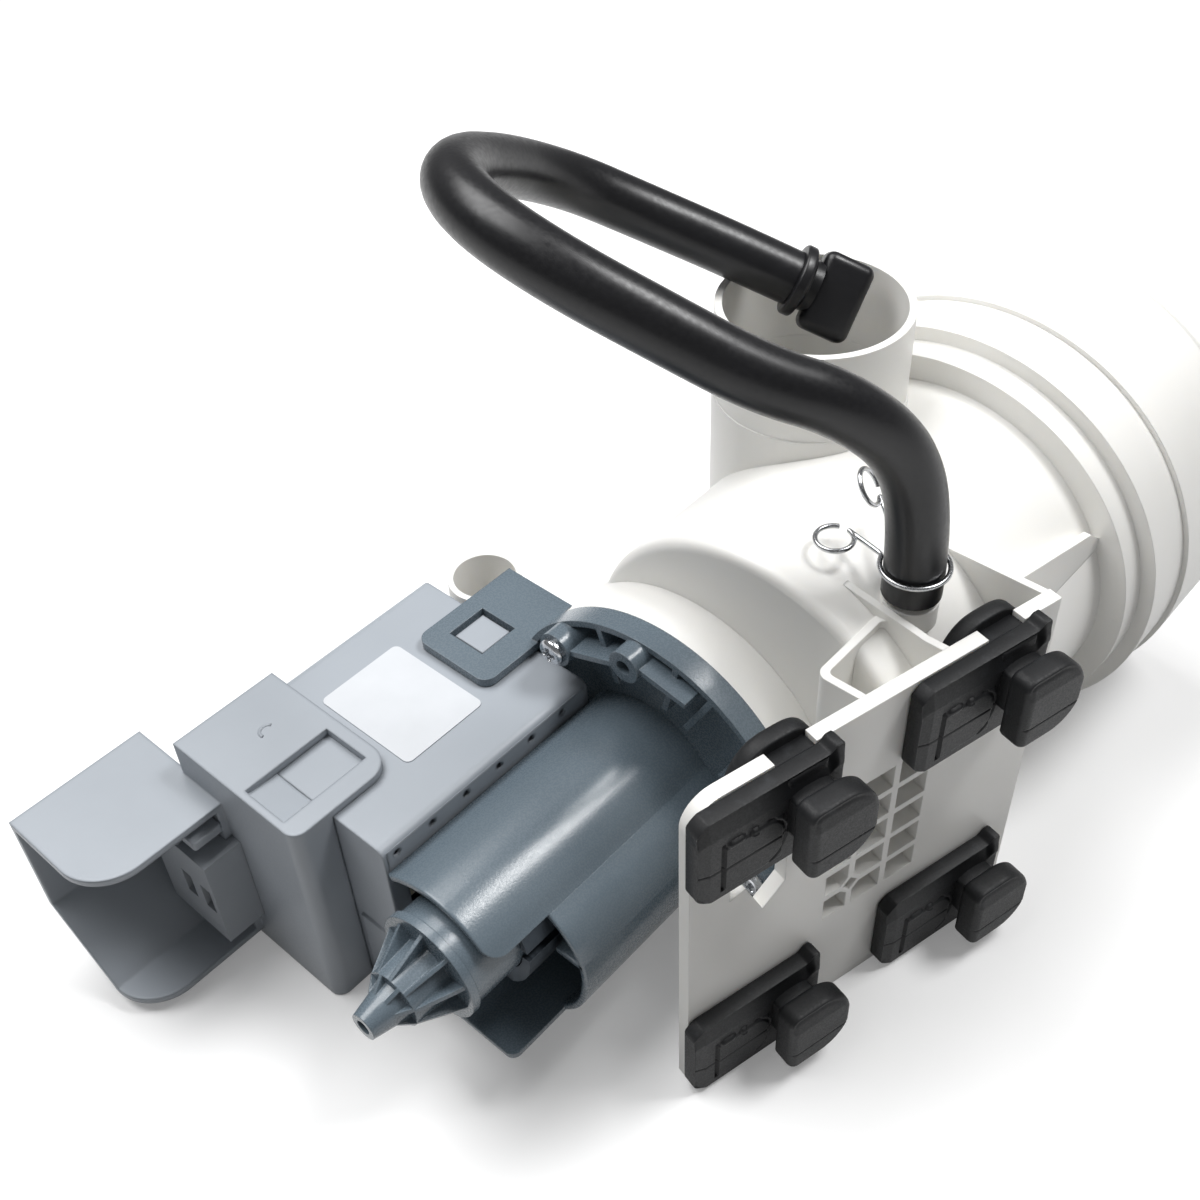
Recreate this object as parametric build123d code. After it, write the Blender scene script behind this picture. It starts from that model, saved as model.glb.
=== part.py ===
from build123d import *
import os
from math import atan2, cos, degrees, hypot, pi, radians, sin, sqrt, tan

os.makedirs("parts", exist_ok=True)

# Washer drain pump, in millimetres. X runs along the motor shaft, from the plug hood to the filter cap,
# Z is up along the inlet port. Heights are measured from the surface that the pump lies on, and every
# piece is lowered at the end, so that the origin is the centre of the inlet port's mouth.

# Clearances shared by all pieces
seat_gap = 0.3
run_gap = 0.05
overrun = 2.0

# Filter chamber, a stepped round body that lies along X
chamber_y = -33.0
ring_radii = [56.0, 64.0, 68.5, 70.0]
ring_starts = [-70.0, 27.0, 36.0, 54.0]
chamber_end_x = 92.0
chamber_wall = 2.4
chamber_edge_round = 3.0
ring_edge_round = 1.0
chamber_lift = 0.5
chamber_z = ring_radii[-1] + chamber_lift
body_radius = ring_radii[0]
mouth_radius = ring_radii[-1]
face_x = ring_starts[0]
face_thick = 2.4

# Inlet port
port_radius = 28.0
port_wall = 2.2
port_top_z = 157.0
port_seat_length = 27.5
port_seat_z = port_top_z - port_seat_length
port_root_radius = 28.4

# Motor axis, and the round collar that carries the pump cover
motor_y = -14.0
motor_z = 52.5
collar_radius = 49.5
collar_depth = 14.0
collar_front_x = face_x - collar_depth
volute_radius = 34.0
volute_depth = 13.0
eye_radius = 13.0
screw_circle_radius = 44.5
screw_angles = [51.0, 193.0, 268.0]
screw_radius = 2.0
screw_grip = 12.0
screw_head_radius = 4.1
screw_head_height = 2.6
screw_slot_depth = 1.4
screw_slot_width = 1.0
seal_inner_radius = 36.4
seal_outer_radius = 39.2
seal_groove_depth = 1.8

# Discharge pipe, out of the volute along Y and then up
pipe_radius = 12.0
pipe_bore_radius = 10.0
pipe_x = -71.9
pipe_drop = 23.0
pipe_turn_y = 70.0
pipe_mouth_z = 64.5
pipe_start_y = 14.6
pipe_bend_share = 1.35
throat_share = 0.86
throat_reach = 3.0

# Mounting plate, a skewed upright wall beside the chamber
plate_left_x = -137.5
plate_left_y = -66.8
plate_turn = -14.2
plate_length = 118.0
plate_height = 118.5
plate_thick = 4.2
plate_corner_round = 9.0
notch_from_left = 24.3
notch_pitch = 68.0
notch_width = 12.6
notch_depth = 20.0
window_points_share = [
    (0.106, 0.629), (0.148, 0.641), (0.199, 0.527), (0.258, 0.582), (0.258, 0.755), (0.106, 0.755)]
lattice_left = 45.3
lattice_widths = [8.0, 10.0, 10.4]
lattice_rows = [3, 5, 5]
lattice_rib = 2.2
lattice_cell_height = plate_height * 0.0709
lattice_bottom_z = plate_height * 0.325
lattice_depth = 7.4
lattice_back = 1.6
diamond_outer = 6.4
diamond_inner = 3.6

# Open pocket between plate and chamber, and the upright rib walls
rib_wall = 2.2
pocket_right_x = -56.0
pocket_left_x = -84.6
pocket_back_y = -63.0
pocket_depth = 42.0
pocket_outer_round = 3.2
pocket_inner_round = 1.8
front_rib_back_y = -33.0
front_rib_rise = 8.0
rear_rib_x = -22.6
rear_rib_back_y = -62.0
gusset_mid = (20.0, -80.6, 104.0)
gusset_end = (27.0, -78.1, 98.0)

# Hose spigot, in the well beside the pocket
spigot_x = -48.0
spigot_y = -66.5
spigot_radius = 5.05
spigot_bore_radius = 3.4
spigot_top_z = 133.0
spigot_foot_radius = 7.4
spigot_foot_top_z = 120.0
spigot_root_z = chamber_z + sqrt(body_radius ** 2 - (spigot_y - chamber_y) ** 2) - chamber_wall

# Pump cover: flange, rim, bosses, rotor can with its nose, shroud and clip arm
flange_thick = 2.5
flange_radius = 50.0
rim_height = 5.0
rim_thick = 2.0
boss_radius = 5.4
boss_height = 11.0
spare_boss_angle = 87.0
spare_boss_radius = 5.0
spare_boss_bore = 2.2
chord_thick = 1.8
chord_height = 10.0
chord_angles = [(51.0, 87.0, 43.6), (87.0, 113.0, 46.0)]
rim_rib_angles = [70.0, 103.0, 118.0, 150.0, 225.0, 250.0, 340.0]
rim_rib_inner_radius = 30.0
can_bore_radius = 14.0
can_wall = 1.4
can_end_x = -176.0
nose_collar_radius = 16.4
nose_collar_length = 2.6
cone_base_radius = 14.6
cone_tip_radius = 8.6
cone_length = 12.0
tip_base_radius = 6.2
tip_radius = 4.0
tip_length = 10.4
tip_bore_radius = 2.2
nose_ribs = 10
nose_rib_thick = 1.2
drum_swell = 1.0
tip_ribs = 8
tip_rib_length = 5.6
shroud_end_x = -171.5
shroud_lobe_end_x = -151.0
shroud_wall = 2.0
shroud_left_y = 6.9
shroud_left_z = 66.5
shroud_top_y = -8.0
shroud_top_z = 72.4
shroud_crease_y = -31.5
shroud_crease_z = 61.5
shroud_side_y = -43.0
shroud_side_z = 42.0
shroud_corner_y = -34.0
shroud_bottom_z = 18.0
shroud_bulge = 2.0
web_z = 47.0
web_end_x = -118.0
arm_front_x = -113.0
arm_back_x = -73.6
arm_low_y = 27.0
arm_high_y = 56.0
arm_thick = 2.8
arm_corner_round = 4.0
arm_web_height = 14.0
arm_window_x = (-105.2, -91.5)
arm_window_y = (36.3, 49.8)

# Motor case
case_front_x = -171.0
case_back_x = -92.0
case_right_y = 7.5
case_left_y = 75.7
case_top_z = 74.0
case_wall = 2.0
case_edge_round = 3.0
case_step_z = 33.0
case_step_depth = 0.8
vent_count = 6
vent_radius = 1.1
vent_drop = 3.4
vent_first_x = -166.5
vent_pitch = 12.7
core_window_x = (-165.0, -107.0)
core_window_z = (30.0, 70.0)
plug_window_y = (30.0, 72.0)
plug_window_z = (12.0, 66.0)
lug_height = 1.8

# Terminal cover with its plug hood
cover_front_x = -184.0
cover_panel_end_x = -149.0
cover_right_y = 26.5
cover_left_y = 78.4
cover_wall = 2.4
cover_round = 8.0
latch_window_x = (-181.6, -153.0)
latch_window_y = (33.3, 49.6)
hood_front_x = -226.0
hood_wall = 2.2
hood_right_y = 61.0
hood_left_y = 101.0
hood_top_z = 64.5
hood_bottom_z = 4.5
hood_round = 15.0
hood_slope_top_z = 27.0
hood_slope_end_y = 77.0

# Terminal block and blades
block_length = 15.0
block_through_y = 75.0
block_y = (57.5, 84.0)
block_z = (15.0, 50.0)
blade_width = 6.3
blade_thick = 0.8
blade_length = 13.0
blade_count = 2
blade_room = 1.9

# Motor inside: magnet, shaft, bushes, stator
magnet_radius = 12.6
magnet_length = 58.0
magnet_front_x = -167.0
shaft_radius = 2.0
shaft_front_x = -173.6
bush_radius = 5.5
bush_length = 5.0
carrier_length = 10.0
carrier_back_x = -86.0
carrier_pockets = 6
carrier_pocket_radius = 2.2
core_from_case = 11.0
core_from_back = 20.0
core_front_x = case_front_x + core_from_case
core_length = case_back_x - core_from_back - core_front_x
core_leg = 7.0
core_leg_offset = 8.0
core_pole_bottom = 34.0
core_pole_side_y = 4.6
core_yoke = 8.0
core_air_gap = 0.35
core_slit = 3.0
pole_radius = 20.1
pole_y = -12.0
pole_z = 50.0
core_yoke_y = 60.0
bobbin_wall = 1.0
coil_build = 2.4
coil_from_y = 15.0
coil_to_y = 57.0
bobbin_flange = 1.2
cutout_size = (16.0, 9.0, 3.2)

# Impeller
impeller_radius = 24.0
impeller_plate = 1.6
impeller_hub_radius = 6.5
impeller_blades = 6
impeller_blade_thick = 1.8
impeller_front_gap = 0.6
impeller_eye_gap = 1.2
dog_radius = 4.6
dog_thick = 2.4
dog_length = 4.0

# Filter basket and cap
basket_radius = 46.0
basket_wall = 2.0
basket_start_x = -34.0
basket_slot_rows = 2
basket_slots = 8
basket_slot_width = 20.0
basket_slot_share = 0.8
basket_hole_radius = 8.0
cap_plug_radius = 63.6
cap_plug_length = 13.0
cap_plug_wall = 2.4
cap_lug_height = 2.4
cap_lug_length = 4.0
cap_lug_angle = 28.0
cap_lugs = 3
cap_hook_height = 3.2
cap_hook_length = 3.0
cap_hook_inset = 1.5
cap_disc_radius = 70.0
cap_disc_thick = 4.0
cap_dish_radius = 56.0
cap_dish_depth = 14.0
cap_dish_wall = 2.4
cap_grip_height = 16.0
cap_grip_thick = 11.0
cap_grip_half = 50.0
cap_turn = 60.0
cap_gasket_thick = 1.2
cap_gasket_width = 3.0

# Label
label_x = (-146.0, -116.8)
label_y = (24.5, 61.0)
label_thick = 0.3
label_round = 2.0

# Rubber mounts
lower_mount_z = 1.0
mount_length = 43.0
mount_height = 30.0
mount_slab = 5.0
mount_from_notch = 26.0
mount_corner = 4.0
mount_edge_round = 0.8
mount_neck_height = 14.0
mount_rear_thick = 4.4
mount_rear_span_share = (0.46, 0.98)
mount_rear_height = 16.0
mount_rear_rise = 0.6
mount_fit = 0.25
knob_gap = 4.6
knob_thick = 6.4
knob_left = 24.5
knob_width = 20.0
knob_bottom = 4.6
knob_height = 23.0
knob_round = 1.4
pad_left = 5.6
pad_width = 18.0
pad_bottom = 4.5
pad_height = 15.0
recess_depth = 1.8
recess_height = 8.5

# Vent hose, its end fitting and its clamp
hose_radius = 7.8
hose_bore_radius = 5.15
bend_share = 0.45
hose_route = [
    (-48.0, -66.5, 122.0), (-48.0, -66.5, 143.0), (-50.0, -61.5, 165.0), (-64.0, -51.5, 182.0),
    (-78.0, -38.0, 190.5), (-89.0, -20.0, 202.0), (-98.5, 0.5, 212.5), (-101.0, 21.5, 219.0),
    (-93.5, 39.5, 219.0), (-80.0, 51.0, 214.5), (-63.0, 57.5, 206.0), (-46.5, 61.0, 196.5),
    (-32.0, 58.5, 187.5), (-21.5, 49.5, 179.5), (-14.5, 40.0, 174.0), (-5.5, 25.0, 166.8),
    (3.6, 10.5, 159.0)]
fitting_collar_radius = 10.2
fitting_collar_length = 3.4
fitting_neck_radius = 7.4
fitting_neck_length = 2.4
fitting_block = (15.0, 23.0, 9.0)
fitting_block_round = 2.6
fitting_plug_length = 9.0
fitting_side = (-0.68, 0.0, -0.73)
clamp_wire_radius = 0.8
clamp_height_z = 130.5
clamp_gap = 0.3
clamp_ends = (100.0, 66.0)
clamp_loop_radius = 5.2
clamp_arm_ends = [(-9.5, 19.9, 0.0), (8.3, 17.9, 4.3)]
clamp_loop_centres = [(-4.3, 21.3, 0.0), (10.5, 21.3, 7.5)]
clamp_loop_tilts = [(0.0, 0.0, 1.0), (-0.345, 0.747, -0.562)]


def box(lo, hi):
    """A box between two corners."""
    size = [b - a for a, b in zip(lo, hi)]
    middle = [(a + b) / 2 for a, b in zip(lo, hi)]
    return Pos(*middle) * Box(*size)


def rod_x(x0, x1, radius, y, z):
    """A round bar along X."""
    return Pos((x0 + x1) / 2, y, z) * Rot(0, 90, 0) * Cylinder(radius, x1 - x0)


def rod_y(y0, y1, radius, x, z):
    """A round bar along Y."""
    return Pos(x, (y0 + y1) / 2, z) * Rot(90, 0, 0) * Cylinder(radius, y1 - y0)


def rod_z(z0, z1, radius, x, y):
    """A round bar along Z."""
    return Pos(x, y, (z0 + z1) / 2) * Cylinder(radius, z1 - z0)


def motor_rod(x0, x1, radius):
    """A round bar on the motor axis."""
    return rod_x(x0, x1, radius, motor_y, motor_z)


def chamber_rod(x0, x1, radius):
    """A round bar on the chamber axis."""
    return rod_x(x0, x1, radius, chamber_y, chamber_z)


def on_motor_circle(angle, radius):
    """The y and z of a point on a circle about the motor axis."""
    return (motor_y + radius * cos(radians(angle)), motor_z + radius * sin(radians(angle)))


def slab_yz(x0, x1, outline):
    """An outline in y and z, given as a face on the YZ plane at x = 0, made solid from x0 to x1."""
    return Pos(x0, 0, 0) * extrude(outline, x1 - x0, dir=(1, 0, 0))


def polygon_yz(points):
    """A closed flat outline through points given as y and z."""
    return make_face(Polyline(*[(0, y, z) for y, z in points], close=True))


def polygon_up(points, z0, z1):
    """A closed outline of x and y points, made solid from z0 to z1."""
    face = make_face(Polyline(*[(x, y, z0) for x, y in points], close=True))
    return extrude(face, z1 - z0, dir=(0, 0, 1))


# The plate's own directions: along it to the right, and out of its front face
along = (cos(radians(plate_turn)), sin(radians(plate_turn)))
outward = (along[1], -along[0])
plate_plane = Plane(
    origin=(plate_left_x, plate_left_y, 0), x_dir=(along[0], along[1], 0), z_dir=(outward[0], outward[1], 0))


def plate_point(s, offset):
    """The x and y of a point s along the plate and offset in front of its face."""
    return (
        plate_left_x + along[0] * s + outward[0] * offset,
        plate_left_y + along[1] * s + outward[1] * offset)


def plate_box(s0, s1, offset0, offset1, z0, z1):
    """A box in the plate's own directions."""
    size = (s1 - s0, z1 - z0, offset1 - offset0)
    middle = ((s0 + s1) / 2, (z0 + z1) / 2, (offset0 + offset1) / 2)
    return plate_plane * Pos(*middle) * Box(*size)


def plate_prism(points, offset0, offset1):
    """An outline of s and z points, made solid between two offsets from the plate's face."""
    face = make_face(Polyline(*[(s, z) for s, z in points], close=True))
    return plate_plane * Pos(0, 0, offset0) * extrude(face, offset1 - offset0, dir=(0, 0, 1))


def largest(shape):
    """The biggest solid of a cut or joined shape."""
    return max(shape.solids(), key=lambda s: s.volume)


def stepped_chamber(shrink, start, end):
    """The stepped round body, made smaller by shrink all round, as a solid about the chamber axis."""
    shape = None
    starts = [start] + [x + shrink for x in ring_starts[1:]] + [end]
    for index, radius in enumerate(ring_radii):
        piece = chamber_rod(starts[index], starts[index + 1], radius - shrink)
        shape = piece if shape is None else shape + piece
    return shape


def lattice_block():
    """The solid block of the rib lattice, one box for each column of cells."""
    back = plate_thick + lattice_depth + lattice_back
    pitch = lattice_cell_height + lattice_rib
    block = None
    for column, width in enumerate(lattice_widths):
        left = lattice_left + sum(lattice_widths[:column]) + lattice_rib * column
        top = lattice_bottom_z + pitch * lattice_rows[column]
        piece = plate_box(
            left - lattice_rib, left + width + lattice_rib, -back, 0, lattice_bottom_z - lattice_rib, top)
        block = piece if block is None else block + piece
    return block


def plate_zone():
    """The room of the plate and its lattice, cut out of whatever stands behind them."""
    room = plate_box(-plate_length, plate_length * 3, -plate_thick, plate_length, -plate_height, plate_height * 2)
    return room + lattice_block()


def make_plate():
    plate = plate_box(0, plate_length, -plate_thick, 0, 0, plate_height)
    top_left = [e for e in plate.edges().filter_by(Axis((0, 0, 0), (outward[0], outward[1], 0)))]
    top_left = sorted(top_left, key=lambda e: e.center().X - e.center().Z)[:1]
    plate = fillet(top_left, plate_corner_round)
    plate += lattice_block()
    pitch = lattice_cell_height + lattice_rib
    for column, width in enumerate(lattice_widths):
        left = lattice_left + sum(lattice_widths[:column]) + lattice_rib * column
        for row in range(lattice_rows[column]):
            low = lattice_bottom_z + pitch * row
            depth = plate_thick + lattice_depth
            plate -= plate_box(left, left + width, -depth, overrun, low, low + lattice_cell_height)
    middle_s = lattice_left + lattice_widths[0] + lattice_rib / 2
    middle_z = lattice_bottom_z + pitch - lattice_rib / 2
    depth = plate_thick + lattice_depth
    plate += diamond(middle_s, middle_z, diamond_outer, -depth, 0)
    plate -= diamond(middle_s, middle_z, diamond_inner, -depth, overrun)
    window = [(a * plate_length, b * plate_height) for a, b in window_points_share]
    plate -= plate_prism(window, -plate_thick - overrun, overrun)
    plate -= plate_notches()
    return largest(plate)


def diamond(s, z, side, offset0, offset1):
    """A square bar on its corner, through the plate at s and z."""
    half = side / sqrt(2)
    return plate_prism([(s - half, z), (s, z + half), (s + half, z), (s, z - half)], offset0, offset1)


def plate_notches():
    """The open notches for the upper mounts and the closed slots for the lower ones."""
    cuts = None
    low = lower_mount_z + mount_height - notch_depth
    for s in (notch_from_left, notch_from_left + notch_pitch):
        notch = plate_box(
            s, s + notch_width, -plate_thick - overrun, overrun, plate_height - notch_depth,
            plate_height + overrun)
        slot = plate_box(
            s, s + notch_width, -plate_thick - overrun, overrun, low, low + mount_neck_height + seat_gap * 2)
        cuts = notch + slot if cuts is None else cuts + notch + slot
    return cuts


def make_pocket():
    """The open pocket between the plate and the chamber."""
    start = plate_point(0, 0)
    slope = along[1] / along[0]
    front_left_y = start[1] + (pocket_left_x - start[0]) * slope
    front_right_y = start[1] + (pocket_right_x - start[0]) * slope
    points = [
        (pocket_left_x, front_left_y), (pocket_right_x, front_right_y),
        (pocket_right_x, pocket_back_y), (pocket_left_x, pocket_back_y)]
    back_y = pocket_back_y - rib_wall
    inner_points = [
        (pocket_left_x + rib_wall, front_left_y - rib_wall * 2),
        (pocket_right_x - rib_wall, front_right_y - rib_wall * 2),
        (pocket_right_x - rib_wall, back_y), (pocket_left_x + rib_wall, back_y)]
    floor_z = plate_height - pocket_depth
    inner = rounded_up(inner_points, pocket_inner_round, floor_z, plate_height + overrun)
    inner -= plate_box(-plate_length, plate_length * 2, -plate_thick, plate_length, 0, plate_height + overrun)
    return rounded_up(points, pocket_outer_round, floor_z - rib_wall, plate_height) - inner


def rounded_up(points, radius, z0, z1):
    """A closed outline of x and y points with rounded corners, made solid from z0 to z1."""
    path = FilletPolyline(*[(x, y, z0) for x, y in points], radius=radius, close=True)
    return extrude(make_face(path), z1 - z0, dir=(0, 0, 1))


def make_ribs():
    """The rib walls that tie the plate to the chamber."""
    plate_y = plate_point(plate_length, -plate_thick)[1]
    front_top = [
        (pocket_back_y, chamber_z), (front_rib_back_y, chamber_z),
        (front_rib_back_y, plate_height + front_rib_rise), (plate_y / 2 + pocket_back_y / 2, plate_height)]
    ribs = slab_yz(pocket_right_x - rib_wall, pocket_right_x, polygon_yz(front_top))
    rear = [
        (plate_y, 0), (rear_rib_back_y, 0), (rear_rib_back_y, plate_height), (plate_y, plate_height)]
    ribs += slab_yz(rear_rib_x - rib_wall, rear_rib_x, polygon_yz(rear))
    corners = [
        (rear_rib_x - rib_wall, plate_y, plate_height), gusset_mid, gusset_end,
        (gusset_end[0], gusset_end[1], chamber_z), (rear_rib_x - rib_wall, plate_y, chamber_z)]
    face = make_face(Polyline(*[Vector(*c) for c in corners_on_plane(corners)], close=True))
    ribs += extrude(face, rib_wall, dir=(0, 1, 0))
    return ribs


def corners_on_plane(corners):
    """The corners moved along Y onto one upright plane parallel to X."""
    y = sum(c[1] for c in corners) / len(corners)
    return [(c[0], y, c[2]) for c in corners]


def make_pipe():
    """The discharge pipe as its outside and its bore."""
    z = motor_z - pipe_drop
    radius = pipe_radius * pipe_bend_share
    start = pipe_start_y - chamber_wall
    path = FilletPolyline(
        (pipe_x, start, z), (pipe_x, pipe_turn_y, z), (pipe_x, pipe_turn_y, pipe_mouth_z), radius=radius)
    outer = sweep(Plane(origin=(pipe_x, start, z), z_dir=(0, 1, 0)) * Circle(pipe_radius), path=path)
    inner_path = FilletPolyline(
        (pipe_x, pipe_start_y, z), (pipe_x, pipe_turn_y, z), (pipe_x, pipe_turn_y, pipe_mouth_z + overrun),
        radius=radius)
    inner = sweep(
        Plane(origin=(pipe_x, pipe_start_y, z), z_dir=(0, 1, 0)) * Circle(pipe_bore_radius), path=inner_path)
    return outer, inner


def ring_sector(x0, x1, inner, outer, angle, width, y, z):
    """A sector of a ring about an axis along X, centred on an angle from +Y towards +Z."""
    ring = rod_x(x0, x1, outer, y, z) - rod_x(x0 - overrun, x1 + overrun, inner, y, z)
    reach = outer * 2
    a = radians(angle - width / 2)
    b = radians(angle + width / 2)
    wedge = polygon_yz([
        (y, z), (y + reach * cos(a), z + reach * sin(a)),
        (y + reach * cos((a + b) / 2), z + reach * sin((a + b) / 2)),
        (y + reach * cos(b), z + reach * sin(b))])
    return ring & slab_yz(x0, x1, wedge)


def chamber_outside():
    """The filled outside of the filter chamber, with its rounded front edge."""
    drum = chamber_rod(face_x, ring_starts[1] + overrun, body_radius)
    rim = [e for e in drum.edges() if abs(e.center().X - face_x) < seat_gap and e.geom_type == GeomType.CIRCLE]
    return fillet(rim, chamber_edge_round) + stepped_chamber(0, ring_starts[1] - overrun, chamber_end_x)


def make_housing():
    """The filter chamber: stepped shell, closed front wall, root of the inlet port and the cap's hooks."""
    body = chamber_outside()
    body += rod_z(chamber_z, port_seat_z, port_root_radius, 0, 0)
    body += motor_rod(face_x, face_x + face_thick, collar_radius)
    body -= stepped_chamber(chamber_wall, face_x + face_thick, chamber_end_x + overrun)
    body -= plate_zone()
    body -= rod_z(chamber_z + chamber_wall, port_seat_z + overrun, port_radius - port_wall, 0, 0)
    body -= rod_z(port_seat_z, port_top_z, port_root_radius, 0, 0)
    body -= motor_rod(face_x - overrun, face_x + face_thick + overrun, eye_radius)
    body -= make_pipe()[0]
    body -= rod_z(chamber_z, spigot_top_z, spigot_bore_radius, spigot_x, spigot_y)
    body -= plate_notches()
    for index in range(cap_lugs):
        body += ring_sector(
            hook_back_x(), hook_back_x() + cap_hook_length, mouth_radius - chamber_wall - cap_hook_height,
            mouth_radius - chamber_wall / 2, 90 + 360 / cap_lugs * index, cap_lug_angle, chamber_y, chamber_z)
    return largest(body)


def make_port():
    """The upright inlet port, a plain tube on its root."""
    tube = rod_z(port_seat_z, port_top_z, port_radius, 0, 0)
    return tube - rod_z(port_seat_z - overrun, port_top_z + overrun, port_radius - port_wall, 0, 0)


def make_webs():
    """The pocket, the upright ribs and the hose spigot between plate and chamber."""
    webs = make_pocket() + make_ribs()
    webs += rod_z(spigot_root_z, spigot_foot_top_z, spigot_foot_radius, spigot_x, spigot_y)
    webs += rod_z(spigot_root_z, spigot_top_z, spigot_radius, spigot_x, spigot_y)
    webs -= chamber_outside()
    webs -= rod_z(chamber_z, port_top_z, port_root_radius, 0, 0)
    webs -= motor_rod(collar_front_x, face_x + face_thick, collar_radius)
    webs -= plate_zone()
    webs -= plate_notches()
    webs -= rod_z(chamber_z, spigot_top_z + overrun, spigot_bore_radius, spigot_x, spigot_y)
    return webs


def make_collar():
    """The pump's collar with its volute, and the seat of the discharge pipe."""
    collar = motor_rod(collar_front_x, face_x, collar_radius)
    collar -= motor_rod(collar_front_x - overrun, collar_front_x + volute_depth, volute_radius)
    collar -= motor_rod(collar_front_x, face_x + overrun, eye_radius)
    collar -= make_pipe()[0]
    collar -= throat_box()
    for angle in screw_angles:
        y, z = on_motor_circle(angle, screw_circle_radius)
        collar -= rod_x(
            collar_front_x - overrun, collar_front_x + screw_grip + seat_gap, screw_radius + run_gap, y, z)
    return largest(collar - seal_groove())


def seal_groove():
    groove = motor_rod(collar_front_x - overrun, collar_front_x + seal_groove_depth, seal_outer_radius)
    return groove - motor_rod(collar_front_x - overrun * 2, face_x, seal_inner_radius)


def make_discharge():
    """The discharge pipe, from the volute out along Y and up to its mouth."""
    pipe, pipe_bore = make_pipe()
    pipe -= motor_rod(collar_front_x - overrun, collar_front_x + volute_depth, volute_radius)
    pipe -= pipe_bore
    pipe -= throat_box()
    return largest(pipe - seal_groove())


def throat_box():
    """The passage from the volute into the discharge pipe."""
    z = motor_z - pipe_drop
    half = pipe_bore_radius * throat_share
    return box(
        (collar_front_x + seal_groove_depth + seat_gap * 2, motor_y, z - half),
        (collar_front_x + volute_depth - face_thick / 2, pipe_start_y + throat_reach, z + half))


def hook_back_x():
    return chamber_end_x - cap_hook_length - cap_hook_inset


def shroud_face(extra):
    """The shroud's outer outline in y and z, run on by extra towards the motor case."""
    slope = (shroud_left_z - shroud_top_z) / (shroud_left_y - shroud_top_y)
    left_z = shroud_left_z + slope * extra
    left_y = shroud_left_y + extra
    bulge_y = (shroud_top_y + shroud_crease_y) / 2 - shroud_bulge
    bulge_z = (shroud_top_z + shroud_crease_z) / 2 + shroud_bulge * 1.7
    edges = [
        Line((0, left_y, left_z), (0, shroud_top_y, shroud_top_z)),
        ThreePointArc(
            (0, shroud_top_y, shroud_top_z), (0, bulge_y, bulge_z), (0, shroud_crease_y, shroud_crease_z)),
        ThreePointArc(
            (0, shroud_crease_y, shroud_crease_z), (0, shroud_side_y, shroud_side_z),
            (0, shroud_corner_y, shroud_bottom_z)),
        Line((0, shroud_corner_y, shroud_bottom_z), (0, left_y, shroud_bottom_z)),
        Line((0, left_y, shroud_bottom_z), (0, left_y, left_z))]
    return make_face(edges)


def shroud_shell():
    back = collar_front_x - flange_thick
    outline = shroud_face(shroud_wall * 4)
    shell = slab_yz(shroud_end_x, back, outline)
    hollow = offset(outline, -shroud_wall, kind=Kind.INTERSECTION)
    shell -= slab_yz(shroud_end_x - overrun, back, hollow)
    reach = flange_radius
    shell -= box((shroud_end_x - overrun, shroud_left_y, 0), (back + overrun, shroud_left_y + reach, motor_z * 2))
    shell -= box(
        (shroud_end_x - overrun, shroud_side_y - reach, shroud_bottom_z + shroud_wall),
        (shroud_lobe_end_x, shroud_crease_y - shroud_wall, shroud_crease_z + shroud_wall / 2))
    shell += slab_yz(shroud_lobe_end_x, web_end_x, hollow) & box(
        (shroud_lobe_end_x, shroud_side_y - reach, web_z - shroud_wall / 2),
        (web_end_x, pole_y - pole_radius - seat_gap * 2, web_z + shroud_wall / 2))
    return shell


def make_pump_cover():
    flange_front_x = collar_front_x - flange_thick
    can_outer = can_bore_radius + can_wall
    cover = motor_rod(flange_front_x, collar_front_x, flange_radius)
    rim = motor_rod(flange_front_x - rim_height, flange_front_x, flange_radius)
    rim -= motor_rod(flange_front_x - rim_height - overrun, flange_front_x + overrun, flange_radius - rim_thick)
    cover += rim
    for angle in rim_rib_angles:
        rib = box(
            (flange_front_x - rim_height, rim_rib_inner_radius, -rim_thick / 2),
            (flange_front_x, flange_radius - rim_thick / 2, rim_thick / 2))
        cover += Pos(0, motor_y, motor_z) * Rot(angle, 0, 0) * rib
    for angle in screw_angles:
        y, z = on_motor_circle(angle, screw_circle_radius)
        cover += rod_x(flange_front_x - boss_height, flange_front_x, boss_radius, y, z)
    for first, last, radius in chord_angles:
        cover += chord_wall(first, last, radius, flange_front_x)
    y, z = on_motor_circle(spare_boss_angle, screw_circle_radius)
    cover += rod_x(flange_front_x - boss_height, flange_front_x, spare_boss_radius, y, z)
    cover -= rod_x(flange_front_x - boss_height - overrun, flange_front_x, spare_boss_bore, y, z)
    cover += make_arm()
    cover -= motor_rod(flange_front_x - overrun, collar_front_x + overrun, can_outer)
    for angle in screw_angles:
        y, z = on_motor_circle(angle, screw_circle_radius)
        cover -= rod_x(
            flange_front_x - boss_height - overrun, collar_front_x + overrun, screw_radius + run_gap, y, z)
    return largest(cover)


def chord_wall(first, last, radius, x):
    """A straight wall on the flange between two angles of the motor circle."""
    y0, z0 = on_motor_circle(first, radius)
    y1, z1 = on_motor_circle(last, radius)
    across_y = -(z1 - z0) / hypot(y1 - y0, z1 - z0) * chord_thick / 2
    across_z = (y1 - y0) / hypot(y1 - y0, z1 - z0) * chord_thick / 2
    outline = polygon_yz([
        (y0 + across_y, z0 + across_z), (y1 + across_y, z1 + across_z),
        (y1 - across_y, z1 - across_z), (y0 - across_y, z0 - across_z)])
    return slab_yz(x - chord_height, x, outline)


def make_shroud():
    """The hood over the rotor can, cut to stand on the flange and clear of its ribs."""
    return largest(shroud_shell() - make_pump_cover())


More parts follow.
